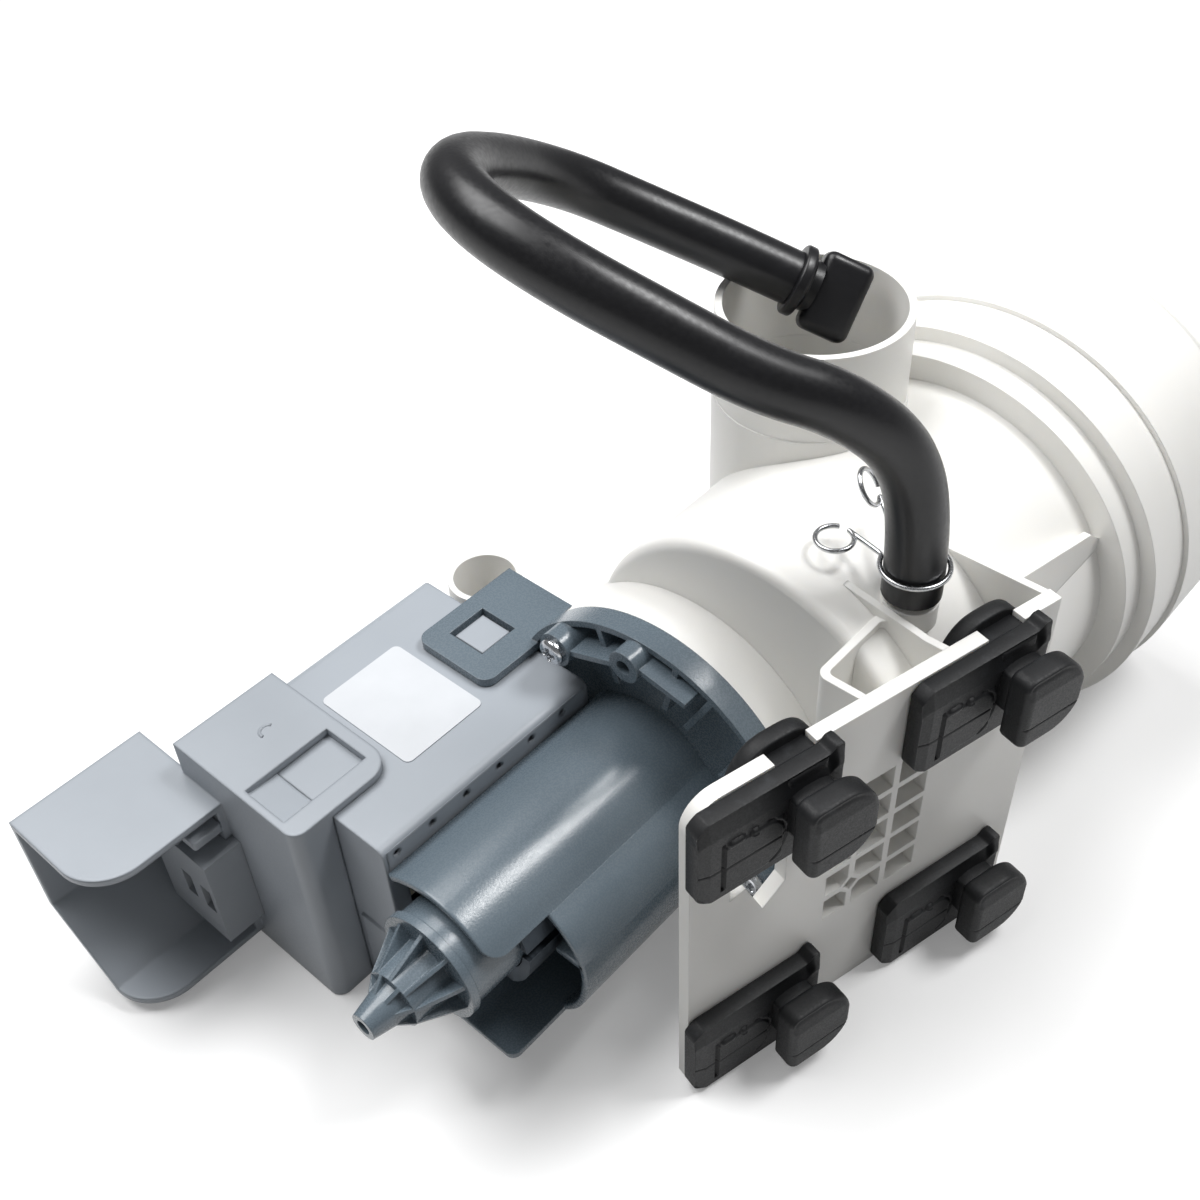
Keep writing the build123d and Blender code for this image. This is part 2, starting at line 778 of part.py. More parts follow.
def make_can():
    """The rotor can: tube, ribbed nose and the socket of the front bush."""
    can = motor_rod(can_end_x, collar_front_x, can_bore_radius + can_wall) + make_nose()
    can -= motor_rod(can_end_x + can_wall, collar_front_x + overrun, can_bore_radius)
    socket_end_x = shaft_front_x + bush_length
    can += motor_rod(can_end_x, socket_end_x, bush_radius + can_wall)
    can -= motor_rod(shaft_front_x - seat_gap, socket_end_x + overrun, bush_radius + run_gap)
    can -= motor_rod(can_end_x - cone_length * 3, can_end_x + can_wall + overrun, tip_bore_radius)
    return largest(can)


def cone_x(x0, x1, r0, r1):
    """A cone along X on the motor axis, from radius r0 at x0 to r1 at x1."""
    return Pos((x0 + x1) / 2, motor_y, motor_z) * Rot(0, 90, 0) * Cone(r0, r1, x1 - x0)


def make_nose():
    """The ribbed nose of the rotor can."""
    collar_x = can_end_x - nose_collar_length
    cone_x0 = collar_x - cone_length
    nose = motor_rod(collar_x, can_end_x, nose_collar_radius)
    nose += cone_x(cone_x0, collar_x, cone_tip_radius, cone_tip_radius + drum_swell)
    nose += cone_x(cone_x0 - tip_length, cone_x0, tip_radius, tip_base_radius)
    fins = nose_fins(nose_ribs, cone_x0, collar_x, cone_base_radius)
    nose += fins & cone_x(cone_x0, collar_x, cone_tip_radius, cone_base_radius)
    short_x = cone_x0 - tip_rib_length
    fins = nose_fins(tip_ribs, short_x, cone_x0, cone_tip_radius)
    nose += fins & cone_x(short_x, cone_x0, tip_radius, cone_tip_radius)
    return nose


def nose_fins(count, x0, x1, reach):
    """A fan of thin walls about the motor axis."""
    fan = None
    for index in range(count):
        fin = box((x0, 0, -nose_rib_thick / 2), (x1, reach, nose_rib_thick / 2))
        fin = Pos(0, motor_y, motor_z) * Rot(360 / count * (index + 0.5), 0, 0) * fin
        fan = fin if fan is None else fan + fin
    return fan


def make_arm():
    """The clip arm that reaches over the motor case, with its web down the flange."""
    low = case_top_z + seat_gap
    arm = box((arm_front_x, arm_low_y, low), (arm_back_x, arm_high_y, low + arm_thick))
    corners = [e for e in arm.edges().filter_by(Axis.Z) if e.center().X < arm_front_x + arm_thick]
    arm = fillet(corners, arm_corner_round)
    arm -= box((arm_window_x[0], arm_window_y[0], 0), (arm_window_x[1], arm_window_y[1], port_top_z))
    clear = collar_radius + seat_gap * 2
    arm -= motor_rod(collar_front_x - seat_gap, arm_back_x + overrun, clear)
    web_low = case_top_z - arm_web_height
    arm += box((collar_front_x - flange_thick, arm_low_y - arm_thick, web_low),
               (collar_front_x, arm_high_y, low + arm_thick))
    return arm


def vent_x(index):
    return vent_first_x + vent_pitch * index


def make_motor_case():
    case = box((case_front_x, case_right_y, chamber_lift), (case_back_x, case_left_y, case_top_z))
    case = fillet(case.edges().filter_by(Axis.X), case_edge_round)
    hollow = box(
        (case_front_x + case_wall, case_right_y + case_wall, chamber_lift + case_wall),
        (case_back_x - case_wall, case_left_y - case_wall, case_top_z - case_wall))
    case -= hollow
    case -= box(
        (core_window_x[0], case_right_y - overrun, core_window_z[0]),
        (core_window_x[1], case_right_y + case_wall + overrun, core_window_z[1]))
    case -= box(
        (case_front_x - overrun, plug_window_y[0], plug_window_z[0]),
        (case_front_x + case_wall + overrun, plug_window_y[1], plug_window_z[1]))
    for index in range(vent_count):
        case -= rod_y(
            case_right_y - overrun, case_right_y + case_wall + overrun, vent_radius, vent_x(index),
            case_top_z - vent_drop)
    margin = seat_gap * 4
    case += box(
        (arm_window_x[0] + margin, arm_window_y[0] + margin, case_top_z - case_wall / 2),
        (arm_window_x[1] - margin, arm_window_y[1] - margin, case_top_z + lug_height))
    case += box(
        (case_front_x - case_step_depth, case_right_y + case_edge_round, chamber_lift + case_edge_round),
        (case_front_x + case_wall / 2, plug_window_y[0] - margin - cover_wall * 2, case_step_z))
    rib_z = motor_z - core_leg_offset - core_leg / 2 - seat_gap
    for x in (core_front_x + core_leg, core_front_x + core_length - core_leg - case_wall):
        case += box(
            (x, core_yoke_y, chamber_lift + case_wall / 2),
            (x + case_wall, case_left_y - case_wall / 2, rib_z))
    return largest(case)


def make_terminal_cover():
    top = case_top_z + seat_gap + cover_wall
    left = case_left_y + seat_gap + cover_wall
    front = box((cover_front_x, cover_right_y, chamber_lift), (case_front_x - seat_gap, left, top))
    front = fillet(front.edges().filter_by(Axis.Z).sort_by(Axis.X)[:1], cover_round / 2)
    front -= box(
        (cover_front_x + cover_wall, cover_right_y + cover_wall, chamber_lift + cover_wall),
        (case_front_x + overrun, left - cover_wall, top - cover_wall))
    cover = front
    panel = box((case_front_x - cover_wall, cover_right_y, top - cover_wall), (cover_panel_end_x, left, top))
    panel = fillet(panel.edges().filter_by(Axis.Z).sort_by(Axis.X)[-2:-1], cover_round)
    cover += panel
    cover += box(
        (case_front_x - cover_wall, left - cover_wall, chamber_lift), (cover_panel_end_x, left, top))
    cover -= box((latch_window_x[0], latch_window_y[0], top - cover_wall * 2),
                 (latch_window_x[1], latch_window_y[1], top + overrun))
    cover += make_hood()
    cover -= box(
        (cover_front_x - hood_wall - overrun, block_y[0] - seat_gap, block_z[0] - seat_gap),
        (cover_front_x + cover_wall + overrun, block_through_y + seat_gap, block_z[1] + seat_gap))
    return largest(cover)


def hood_outline(shrink):
    top = hood_top_z - shrink
    left = hood_left_y - shrink
    low = hood_bottom_z + shrink
    right = hood_right_y - shrink * 2
    end_y = hood_slope_end_y - shrink / 2
    slope_z = hood_slope_top_z + shrink / 2
    return polygon_yz([(right, top), (left, top), (left, slope_z), (end_y, low), (right, low)])


def make_hood():
    """The hood round the plug socket, open to the front and to the right."""
    hood = slab_yz(hood_front_x, cover_front_x + cover_wall / 2, hood_outline(0))
    hood -= slab_yz(hood_front_x - overrun, cover_front_x - hood_wall, hood_outline(hood_wall))
    corner = [
        e for e in hood.edges().filter_by(Axis.Z)
        if e.center().X < hood_front_x + hood_wall and e.center().Y < hood_right_y + hood_wall]
    return fillet(corner, hood_round)


def make_terminal_block():
    block = box((cover_front_x + cover_wall - block_length, block_y[0], block_z[0]),
                (cover_front_x - hood_wall - seat_gap, block_y[1], block_z[1]))
    block += box((cover_front_x - hood_wall - seat_gap * 2, block_y[0], block_z[0]),
                 (cover_front_x + cover_wall + overrun, block_through_y, block_z[1]))
    for index in range(blade_count):
        y = blade_y(index)
        middle = (block_z[0] + block_z[1]) / 2
        depth = block_length - blade_room * 2
        front = cover_front_x + cover_wall - block_length
        block -= box(
            (front - overrun, y - blade_thick / 2 - blade_room, middle - blade_width / 2 - blade_room),
            (front + depth, y + blade_thick / 2 + blade_room, middle + blade_width / 2 + blade_room))
        block -= box(
            (front, y - blade_thick / 2 - run_gap, middle - blade_width / 2 - run_gap),
            (front + block_length + overrun * 2, y + blade_thick / 2 + run_gap, middle + blade_width / 2 + run_gap))
    return block


def blade_y(index):
    pitch = (block_through_y - block_y[0]) / blade_count
    return block_y[0] + pitch * (index + 0.5)


def make_blades():
    blades = None
    middle = (block_z[0] + block_z[1]) / 2
    end_x = cover_front_x + cover_wall + overrun * 2
    for index in range(blade_count):
        y = blade_y(index)
        blade = box(
            (end_x - block_length - overrun, y - blade_thick / 2, middle - blade_width / 2),
            (end_x, y + blade_thick / 2, middle + blade_width / 2))
        blades = blade if blades is None else blades + blade
    return blades


def make_label():
    label = box((label_x[0], label_y[0], case_top_z), (label_x[1], label_y[1], case_top_z + label_thick))
    return fillet(label.edges().filter_by(Axis.Z), label_round)


def make_screws():
    screws = None
    head_x = collar_front_x - flange_thick - boss_height
    for angle in screw_angles:
        y, z = on_motor_circle(angle, screw_circle_radius)
        screw = rod_x(head_x - screw_head_height, head_x, screw_head_radius, y, z)
        screw = fillet(screw.edges().filter_by(GeomType.CIRCLE).sort_by(Axis.X)[:1], screw_head_height / 3)
        screw += rod_x(head_x - run_gap, collar_front_x + screw_grip, screw_radius, y, z)
        for turn in (0, 90):
            slot = Box(screw_slot_depth * 2, screw_head_radius * 1.1, screw_slot_width)
            screw -= Pos(head_x - screw_head_height, y, z) * Rot(turn + angle, 0, 0) * slot
        screws = screw if screws is None else screws + screw
    return screws


def make_mount(slab_left, slab_bottom):
    """One rubber mount: slab in front of the plate, neck in its notch, lip behind, knob in front."""
    front = mount_slab + mount_fit
    slab = plate_box(slab_left, slab_left + mount_length, mount_fit, front, slab_bottom, slab_bottom + mount_height)
    upright = slab.edges().filter_by(Axis((0, 0, 0), (outward[0], outward[1], 0))).sort_by(Axis.Z)[:2]
    slab = chamfer(upright, mount_corner)
    top = slab.edges().filter_by(Axis((0, 0, 0), (along[0], along[1], 0))).sort_by(Axis.Z)[-2:]
    slab = fillet(top, mount_edge_round)
    notch_left = slab_left + mount_from_notch
    neck_left = notch_left + mount_fit
    neck_right = notch_left + notch_width - mount_fit
    neck_low = slab_bottom + mount_height - notch_depth + mount_fit
    neck = plate_box(neck_left, neck_right, -plate_thick - mount_fit * 2, front, neck_low,
                     neck_low + mount_neck_height)
    lip_low = slab_bottom + mount_height + mount_rear_rise - mount_rear_height
    lip = plate_box(
        slab_left + mount_length * mount_rear_span_share[0], slab_left + mount_length * mount_rear_span_share[1],
        -plate_thick - mount_fit - mount_rear_thick, -plate_thick - mount_fit, lip_low,
        lip_low + mount_rear_height)
    lip = fillet(
        lip.edges().filter_by(Axis((0, 0, 0), (outward[0], outward[1], 0))), mount_rear_height / 3)
    knob = plate_box(
        slab_left + knob_left, slab_left + knob_left + knob_width, front + knob_gap,
        front + knob_gap + knob_thick, slab_bottom + knob_bottom, slab_bottom + knob_bottom + knob_height)
    right = knob.edges().filter_by(Axis((0, 0, 0), (outward[0], outward[1], 0))).sort_by(Axis.X)[-2:]
    knob = fillet(right, knob_height / 2.2)
    stem = plate_box(neck_left, neck_right, front - overrun, front + knob_gap + overrun, neck_low,
                     neck_low + mount_neck_height)
    mount = slab + neck + lip + knob + stem
    mount -= plate_box(
        slab_left + pad_left, slab_left + pad_left + pad_width, front - recess_depth, front + overrun,
        slab_bottom + pad_bottom, slab_bottom + pad_bottom + pad_height)
    mount += plate_box(
        slab_left + pad_left + recess_depth, slab_left + pad_left + pad_width - recess_depth,
        front - recess_depth * 2, front - recess_depth / 2, slab_bottom + pad_bottom + recess_depth,
        slab_bottom + pad_bottom + pad_height - recess_depth)
    return mount


def tube_path(points, radii):
    return FilletPolyline(*points, radius=radii)


def hose_radii():
    """The bend radius at each inner point: the arc takes 0.45 of the shorter run beside it."""
    radii = []
    for before, here, after in zip(hose_route, hose_route[1:], hose_route[2:]):
        run_in = Vector(*here) - Vector(*before)
        run_out = Vector(*after) - Vector(*here)
        turn = radians(run_in.get_angle(run_out))
        radii.append(bend_share * min(run_in.length, run_out.length) / tan(turn / 2))
    return radii


def make_hose():
    radii = hose_radii()
    path = tube_path(hose_route, radii)
    start = Vector(*hose_route[0])
    direction = Vector(*hose_route[1]) - start
    section = Circle(hose_radius) - Circle(hose_bore_radius)
    hose = sweep(Plane(origin=start, z_dir=direction) * section, path=path)
    area = pi * (hose_radius ** 2 - hose_bore_radius ** 2)
    print("hose radii", [round(r, 1) for r in radii])
    print("hose length", round(path.length, 1), "volume share", round(hose.volume / area / path.length, 4))
    return hose


def fitting_plane():
    end = Vector(*hose_route[-1])
    direction = (end - Vector(*hose_route[-2])).normalized()
    side = Vector(*fitting_side)
    side = (side - direction * side.dot(direction)).normalized()
    return Plane(origin=end, x_dir=side, z_dir=direction)


def make_fitting():
    plane = fitting_plane()
    plug = Pos(0, 0, -fitting_plug_length / 2) * Cylinder(hose_bore_radius - run_gap, fitting_plug_length)
    collar = Pos(0, 0, run_gap + fitting_collar_length / 2) * Cylinder(
        fitting_collar_radius, fitting_collar_length)
    collar = fillet(collar.edges(), fitting_collar_length / 4)
    neck_z = fitting_collar_length + fitting_neck_length / 2
    neck = Pos(0, 0, neck_z) * Cylinder(fitting_neck_radius, fitting_neck_length + overrun)
    block = Box(fitting_block[1], fitting_block[2], fitting_block[0])
    block = fillet(block.edges(), fitting_block_round)
    block = Pos(0, 0, fitting_collar_length + fitting_neck_length + fitting_block[0] / 2) * block
    bridge = Pos(0, 0, run_gap / 2) * Cylinder(hose_bore_radius - run_gap, run_gap * 2)
    return plane * (plug + bridge + collar + neck + block)


def wire_between(p, q, radius):
    start = Vector(*p)
    step = Vector(*q) - start
    return Plane(origin=start, z_dir=step) * Pos(0, 0, step.length / 2) * Cylinder(radius, step.length)


def make_clamp():
    ring_radius = hose_radius + clamp_gap + clamp_wire_radius
    sweep_angle = 360 - (clamp_ends[0] - clamp_ends[1])
    profile = Pos(ring_radius, 0, 0) * Rot(90, 0, 0) * Circle(clamp_wire_radius)
    centre = Vector(hose_route[0][0], hose_route[0][1], clamp_height_z)
    ring = revolve(profile, Axis.Z, sweep_angle)
    clamp = Pos(*centre) * Rot(0, 0, clamp_ends[0]) * ring
    for index, angle in enumerate(clamp_ends):
        start = centre + Vector(ring_radius * cos(radians(angle)), ring_radius * sin(radians(angle)), 0)
        end = centre + Vector(*clamp_arm_ends[index])
        clamp += Pos(*start) * Sphere(clamp_wire_radius)
        clamp += wire_between(start, end, clamp_wire_radius)
        loop_plane = Plane(
            origin=centre + Vector(*clamp_loop_centres[index]), z_dir=clamp_loop_tilts[index])
        clamp += loop_plane * Torus(clamp_loop_radius, clamp_wire_radius)
    return clamp


def make_impeller():
    front = collar_front_x + impeller_front_gap
    back = collar_front_x + volute_depth - impeller_eye_gap
    impeller = motor_rod(front, front + impeller_plate, impeller_radius)
    for index in range(impeller_blades):
        blade = box(
            (front, impeller_hub_radius / 2, -impeller_blade_thick / 2),
            (back, impeller_radius, impeller_blade_thick / 2))
        impeller += Pos(0, motor_y, motor_z) * Rot(360 / impeller_blades * index, 0, 0) * blade
    impeller += motor_rod(front, back, impeller_hub_radius)
    impeller -= motor_rod(front - overrun, back - impeller_plate, shaft_radius + run_gap)
    room = motor_rod(front - overrun, front + dog_length + seat_gap, dog_radius + seat_gap)
    room &= box(
        (front - overrun, motor_y - impeller_radius, motor_z - impeller_radius),
        (back, motor_y + impeller_radius, motor_z + dog_thick / 2 + run_gap * 2))
    return impeller - room


def make_shaft():
    front = collar_front_x + impeller_front_gap
    back = collar_front_x + volute_depth - impeller_eye_gap - impeller_plate - seat_gap
    shaft = motor_rod(shaft_front_x, back, shaft_radius)
    shaft += box(
        (front, motor_y, motor_z - dog_thick / 2), (front + dog_length, motor_y + dog_radius, motor_z + dog_thick / 2))
    return shaft


def make_magnet():
    magnet = motor_rod(magnet_front_x, magnet_front_x + magnet_length, magnet_radius)
    return magnet - motor_rod(
        magnet_front_x - overrun, magnet_front_x + magnet_length + overrun, shaft_radius + run_gap / 5)


def make_bush(x0):
    bush = motor_rod(x0, x0 + bush_length, bush_radius)
    return bush - motor_rod(x0 - overrun, x0 + bush_length + overrun, shaft_radius + run_gap)


def rear_bush_x():
    return carrier_back_x - carrier_length + seat_gap


def make_carrier():
    front = carrier_back_x - carrier_length
    carrier = motor_rod(front, carrier_back_x, can_bore_radius - run_gap)
    carrier -= motor_rod(front - overrun, front + bush_length + seat_gap * 2, bush_radius + run_gap)
    carrier -= motor_rod(front, carrier_back_x + overrun, shaft_radius + seat_gap)
    for index in range(carrier_pockets):
        y, z = on_motor_circle(360 / carrier_pockets * index, (can_bore_radius + bush_radius) / 2)
        carrier -= rod_x(
            carrier_back_x - carrier_length / 2, carrier_back_x + overrun, carrier_pocket_radius, y, z)
    return carrier


def make_cover_seal():
    x0 = collar_front_x + run_gap
    x1 = collar_front_x + seal_groove_depth - run_gap
    seal = motor_rod(x0, x1, seal_outer_radius - run_gap)
    return seal - motor_rod(x0 - overrun, x1 + overrun, seal_inner_radius + run_gap)


def make_core():
    """The lamination stack: a U whose legs end in two poles round the rotor can."""
    x0 = core_front_x
    x1 = core_front_x + core_length
    far_y = core_yoke_y + core_yoke
    core = None
    for side in (-1, 1):
        middle = motor_z + core_leg_offset * side
        leg = box((x0, motor_y + core_pole_side_y, middle - core_leg / 2), (x1, far_y, middle + core_leg / 2))
        core = leg if core is None else core + leg
    reach = core_leg_offset + core_leg / 2
    core += box((x0, core_yoke_y, motor_z - reach), (x1, far_y, motor_z + reach))
    pole = rod_x(x0, x1, pole_radius, pole_y, pole_z)
    pole &= box((x0, pole_y - pole_radius, core_pole_bottom), (x1, core_pole_side_y, pole_z + pole_radius))
    core += pole
    core -= motor_rod(x0 - overrun, x1 + overrun, can_bore_radius + can_wall + core_air_gap)
    core -= box(
        (x0 - overrun, pole_y - pole_radius - overrun, motor_z - core_slit / 2),
        (x1 + overrun, core_pole_side_y + overrun, motor_z + core_slit / 2))
    return core


def make_bobbins():
    bobbins = None
    for side in (-1, 1):
        middle = motor_z + core_leg_offset * side
        inner = core_leg / 2 + seat_gap
        lo = (core_front_x - seat_gap, coil_from_y, middle - inner)
        hi = (core_front_x + core_length + seat_gap, coil_to_y, middle + inner)
        tube = grown_box(lo, hi, bobbin_wall)
        for y in (coil_from_y, coil_to_y - bobbin_flange):
            flange = grown_box((lo[0], y, lo[2]), (hi[0], y + bobbin_flange, hi[2]), bobbin_wall + coil_build)
            tube += flange
        tube -= box((lo[0], lo[1] - overrun, lo[2]), (hi[0], hi[1] + overrun, hi[2]))
        bobbins = tube if bobbins is None else bobbins + tube
    return bobbins


def grown_box(lo, hi, amount):
    """A box made larger by an amount in x and z."""
    return box((lo[0] - amount, lo[1], lo[2] - amount), (hi[0] + amount, hi[1], hi[2] + amount))


def make_windings():
    windings = None
    for side in (-1, 1):
        middle = motor_z + core_leg_offset * side
        inner = core_leg / 2 + seat_gap + bobbin_wall + run_gap
        start = coil_from_y + bobbin_flange + run_gap
        end = coil_to_y - bobbin_flange - run_gap
        margin = bobbin_wall + run_gap + seat_gap
        lo = (core_front_x - margin, start, middle - inner)
        hi = (core_front_x + core_length + margin, end, middle + inner)
        coil = grown_box(lo, hi, coil_build - run_gap * 4)
        coil = fillet(coil.edges().filter_by(Axis.Y), coil_build / 2)
        coil -= box((lo[0], lo[1] - overrun, lo[2]), (hi[0], hi[1] + overrun, hi[2]))
        windings = coil if windings is None else windings + coil
    return windings


def make_cutout():
    low = motor_z + core_leg_offset + core_leg / 2 + bobbin_wall + coil_build + seat_gap
    middle_x = core_front_x + core_length / 2
    middle_y = (coil_from_y + coil_to_y) / 2
    block = box(
        (middle_x - cutout_size[0] / 2, middle_y - cutout_size[1] / 2, low),
        (middle_x + cutout_size[0] / 2, middle_y + cutout_size[1] / 2, low + cutout_size[2]))
    return fillet(block.edges().filter_by(Axis.X), cutout_size[2] / 5)


def make_cap():
    face = chamber_end_x + cap_gasket_thick
    plug_start = face - cap_plug_length
    cap = chamber_rod(face, face + cap_disc_thick, cap_disc_radius)
    cap = fillet(cap.edges().filter_by(GeomType.CIRCLE), ring_edge_round)
    plug = chamber_rod(plug_start, face + ring_edge_round, cap_plug_radius)
    plug -= chamber_rod(plug_start - overrun, face + overrun, cap_plug_radius - cap_plug_wall)
    cap += plug
    dish_floor = face + cap_disc_thick - cap_dish_depth
    cap += chamber_rod(dish_floor - cap_dish_wall, face + ring_edge_round, cap_dish_radius + cap_dish_wall)
    cap -= chamber_rod(dish_floor, face + cap_disc_thick + overrun, cap_dish_radius)
    half = cap_grip_thick / 2
    grip = box(
        (dish_floor - cap_dish_wall / 2, chamber_y - half, chamber_z - cap_grip_half),
        (face + cap_disc_thick + cap_grip_height, chamber_y + half, chamber_z + cap_grip_half))
    grip = fillet(grip.edges().filter_by(Axis.Y).sort_by(Axis.X)[-2:], cap_grip_height)
    grip = fillet(grip.edges().sort_by(Axis.X)[-1:], half / 2)
    cap += grip
    for index in range(cap_lugs):
        cap += ring_sector(
            hook_back_x() - seat_gap - cap_lug_length, hook_back_x() - seat_gap,
            cap_plug_radius - cap_plug_wall / 2, cap_plug_radius + cap_lug_height,
            90 + 360 / cap_lugs * index, cap_lug_angle, chamber_y, chamber_z)
    return largest(cap)


def basket_end_x():
    return chamber_end_x + cap_gasket_thick + cap_disc_thick - cap_dish_depth - cap_dish_wall - seat_gap


def make_basket():
    end = basket_end_x()
    basket = chamber_rod(basket_start_x, end, basket_radius)
    basket -= chamber_rod(basket_start_x + basket_wall, end - basket_wall, basket_radius - basket_wall)
    pitch = (end - basket_start_x) / basket_slot_rows
    for row in range(basket_slot_rows):
        middle = basket_start_x + pitch * (row + 0.5)
        length = pitch * basket_slot_share
        for index in range(basket_slots):
            slot = box(
                (middle - length / 2, basket_radius / 2, -basket_slot_width / 2),
                (middle + length / 2, basket_radius + overrun, basket_slot_width / 2))
            basket -= Pos(0, chamber_y, chamber_z) * Rot(360 / basket_slots * index, 0, 0) * slot
    inlet = port_radius - port_wall * 2
    basket -= rod_z(chamber_z + basket_radius / 3, port_top_z, inlet, 0, 0)
    for index in range(basket_slots // 2):
        y = chamber_y + basket_radius * 0.5 * cos(radians(index * 720 / basket_slots))
        z = chamber_z + basket_radius * 0.5 * sin(radians(index * 720 / basket_slots))
        basket -= rod_x(basket_start_x - overrun, basket_start_x + basket_wall + overrun, basket_hole_radius, y, z)
    return largest(basket)


def make_cap_seal():
    x1 = chamber_end_x + cap_gasket_thick - run_gap
    outer = mouth_radius - seat_gap
    seal = chamber_rod(chamber_end_x + run_gap, x1, outer)
    return seal - chamber_rod(chamber_end_x - overrun, x1 + overrun, outer - cap_gasket_width)


def save(name, shape):
    """Writes one piece, lowered so that the port's mouth is at the origin."""
    placed = Pos(0, 0, -port_top_z) * shape
    placed.label = name
    export_step(placed, "parts/" + name + ".step")
    print(name, "valid", placed.is_valid, "solids", len(placed.solids()), "volume", round(placed.volume))


upper_z = plate_height - mount_height
left_s = notch_from_left - mount_from_notch
right_s = left_s + notch_pitch
pieces = {
    "pump_housing": make_housing(),
    "inlet_port": make_port(),
    "mounting_plate": make_plate(),
    "plate_webs": make_webs(),
    "pump_collar": make_collar(),
    "discharge_pipe": make_discharge(),
    "pump_cover": make_pump_cover(),
    "rotor_can": make_can(),
    "cover_shroud": make_shroud(),
    "cover_seal": make_cover_seal(),
    "cover_screws": make_screws(),
    "motor_case": make_motor_case(),
    "terminal_cover": make_terminal_cover(),
    "terminal_block": make_terminal_block(),
    "terminal_blades": make_blades(),
    "rating_label": make_label(),
    "stator_core": make_core(),
    "coil_bobbins": make_bobbins(),
    "coil_windings": make_windings(),
    "thermal_cutout": make_cutout(),
    "rotor_magnet": make_magnet(),
    "rotor_shaft": make_shaft(),
    "front_bush": make_bush(shaft_front_x),
    "rear_bush": make_bush(rear_bush_x()),
    "bearing_carrier": make_carrier(),
    "impeller": make_impeller(),
    "filter_cap": make_cap(),
    "filter_basket": make_basket(),
    "cap_seal": make_cap_seal(),
    "rubber_mount_ul": make_mount(left_s, upper_z),
    "rubber_mount_ur": make_mount(right_s, upper_z),
    "rubber_mount_ll": make_mount(left_s, lower_mount_z),
    "rubber_mount_lr": make_mount(right_s, lower_mount_z),
    "vent_hose": make_hose(),
    "hose_end_fitting": make_fitting(),
    "hose_clamp": make_clamp(),
}
for piece_name, piece in pieces.items():
    save(piece_name, piece)
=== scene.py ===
import math
import bpy
import bmesh
import numpy as np
from mathutils import Matrix, Vector


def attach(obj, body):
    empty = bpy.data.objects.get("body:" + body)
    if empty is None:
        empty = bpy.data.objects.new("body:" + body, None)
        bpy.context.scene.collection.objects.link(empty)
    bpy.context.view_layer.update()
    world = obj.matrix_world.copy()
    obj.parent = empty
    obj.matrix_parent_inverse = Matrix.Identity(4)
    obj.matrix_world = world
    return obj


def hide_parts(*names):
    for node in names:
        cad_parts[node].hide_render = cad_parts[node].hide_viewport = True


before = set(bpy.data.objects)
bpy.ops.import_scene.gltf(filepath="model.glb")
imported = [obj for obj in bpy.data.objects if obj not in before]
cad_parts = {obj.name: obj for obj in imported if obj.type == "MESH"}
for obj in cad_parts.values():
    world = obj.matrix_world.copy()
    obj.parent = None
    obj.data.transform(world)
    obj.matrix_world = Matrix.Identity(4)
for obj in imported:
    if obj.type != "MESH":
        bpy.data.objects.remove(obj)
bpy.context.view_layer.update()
print("frame loaded:", len(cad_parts), "nodes")

mm = 0.001
portTop = 157.0  # height of the inlet port's mouth above the table, mm
weld = 0.002  # points closer than this are one, mm
sharpest = 0.02  # the smallest corner radius, mm
noiseSpan = (0.3, 0.7)  # a noise keeps mostly between these
bevelSamples = 6
mouldedBump, metalBump = 0.05, 0.03  # how high a full bump stands, mm


def place(points):
    # points in mm, heights from the table, to metres in the frame
    p = np.asarray(points, float)
    return (p - np.array([0.0, 0.0, portTop])) * mm


def toLinear(hexColour):
    # sRGB hex to linear: c / 12.92 below 0.04045, else ((c + 0.055) / 1.055) ^ 2.4
    c = np.array([int(hexColour[i:i + 2], 16) / 255 for i in (1, 3, 5)])
    c = np.where(c <= 0.04045, c / 12.92, ((c + 0.055) / 1.055) ** 2.4)
    return (*[float(v) for v in c], 1.0)


def addNode(tree, kind, settings=None, links=None):
    # one node with its properties and input values, and the links into it
    node = tree.nodes.new(kind)
    for key, value in (settings or {}).items():
        if isinstance(key, int) or key in node.inputs:
            node.inputs[key].default_value = value
        else:
            setattr(node, key, value)
    for key, output in (links or {}).items():
        tree.links.new(output, node.inputs[key])
    return node


def newMaterial(name):
    material = bpy.data.materials.new(name)
    material.use_nodes = True
    tree = material.node_tree
    tree.nodes.clear()
    return material, tree


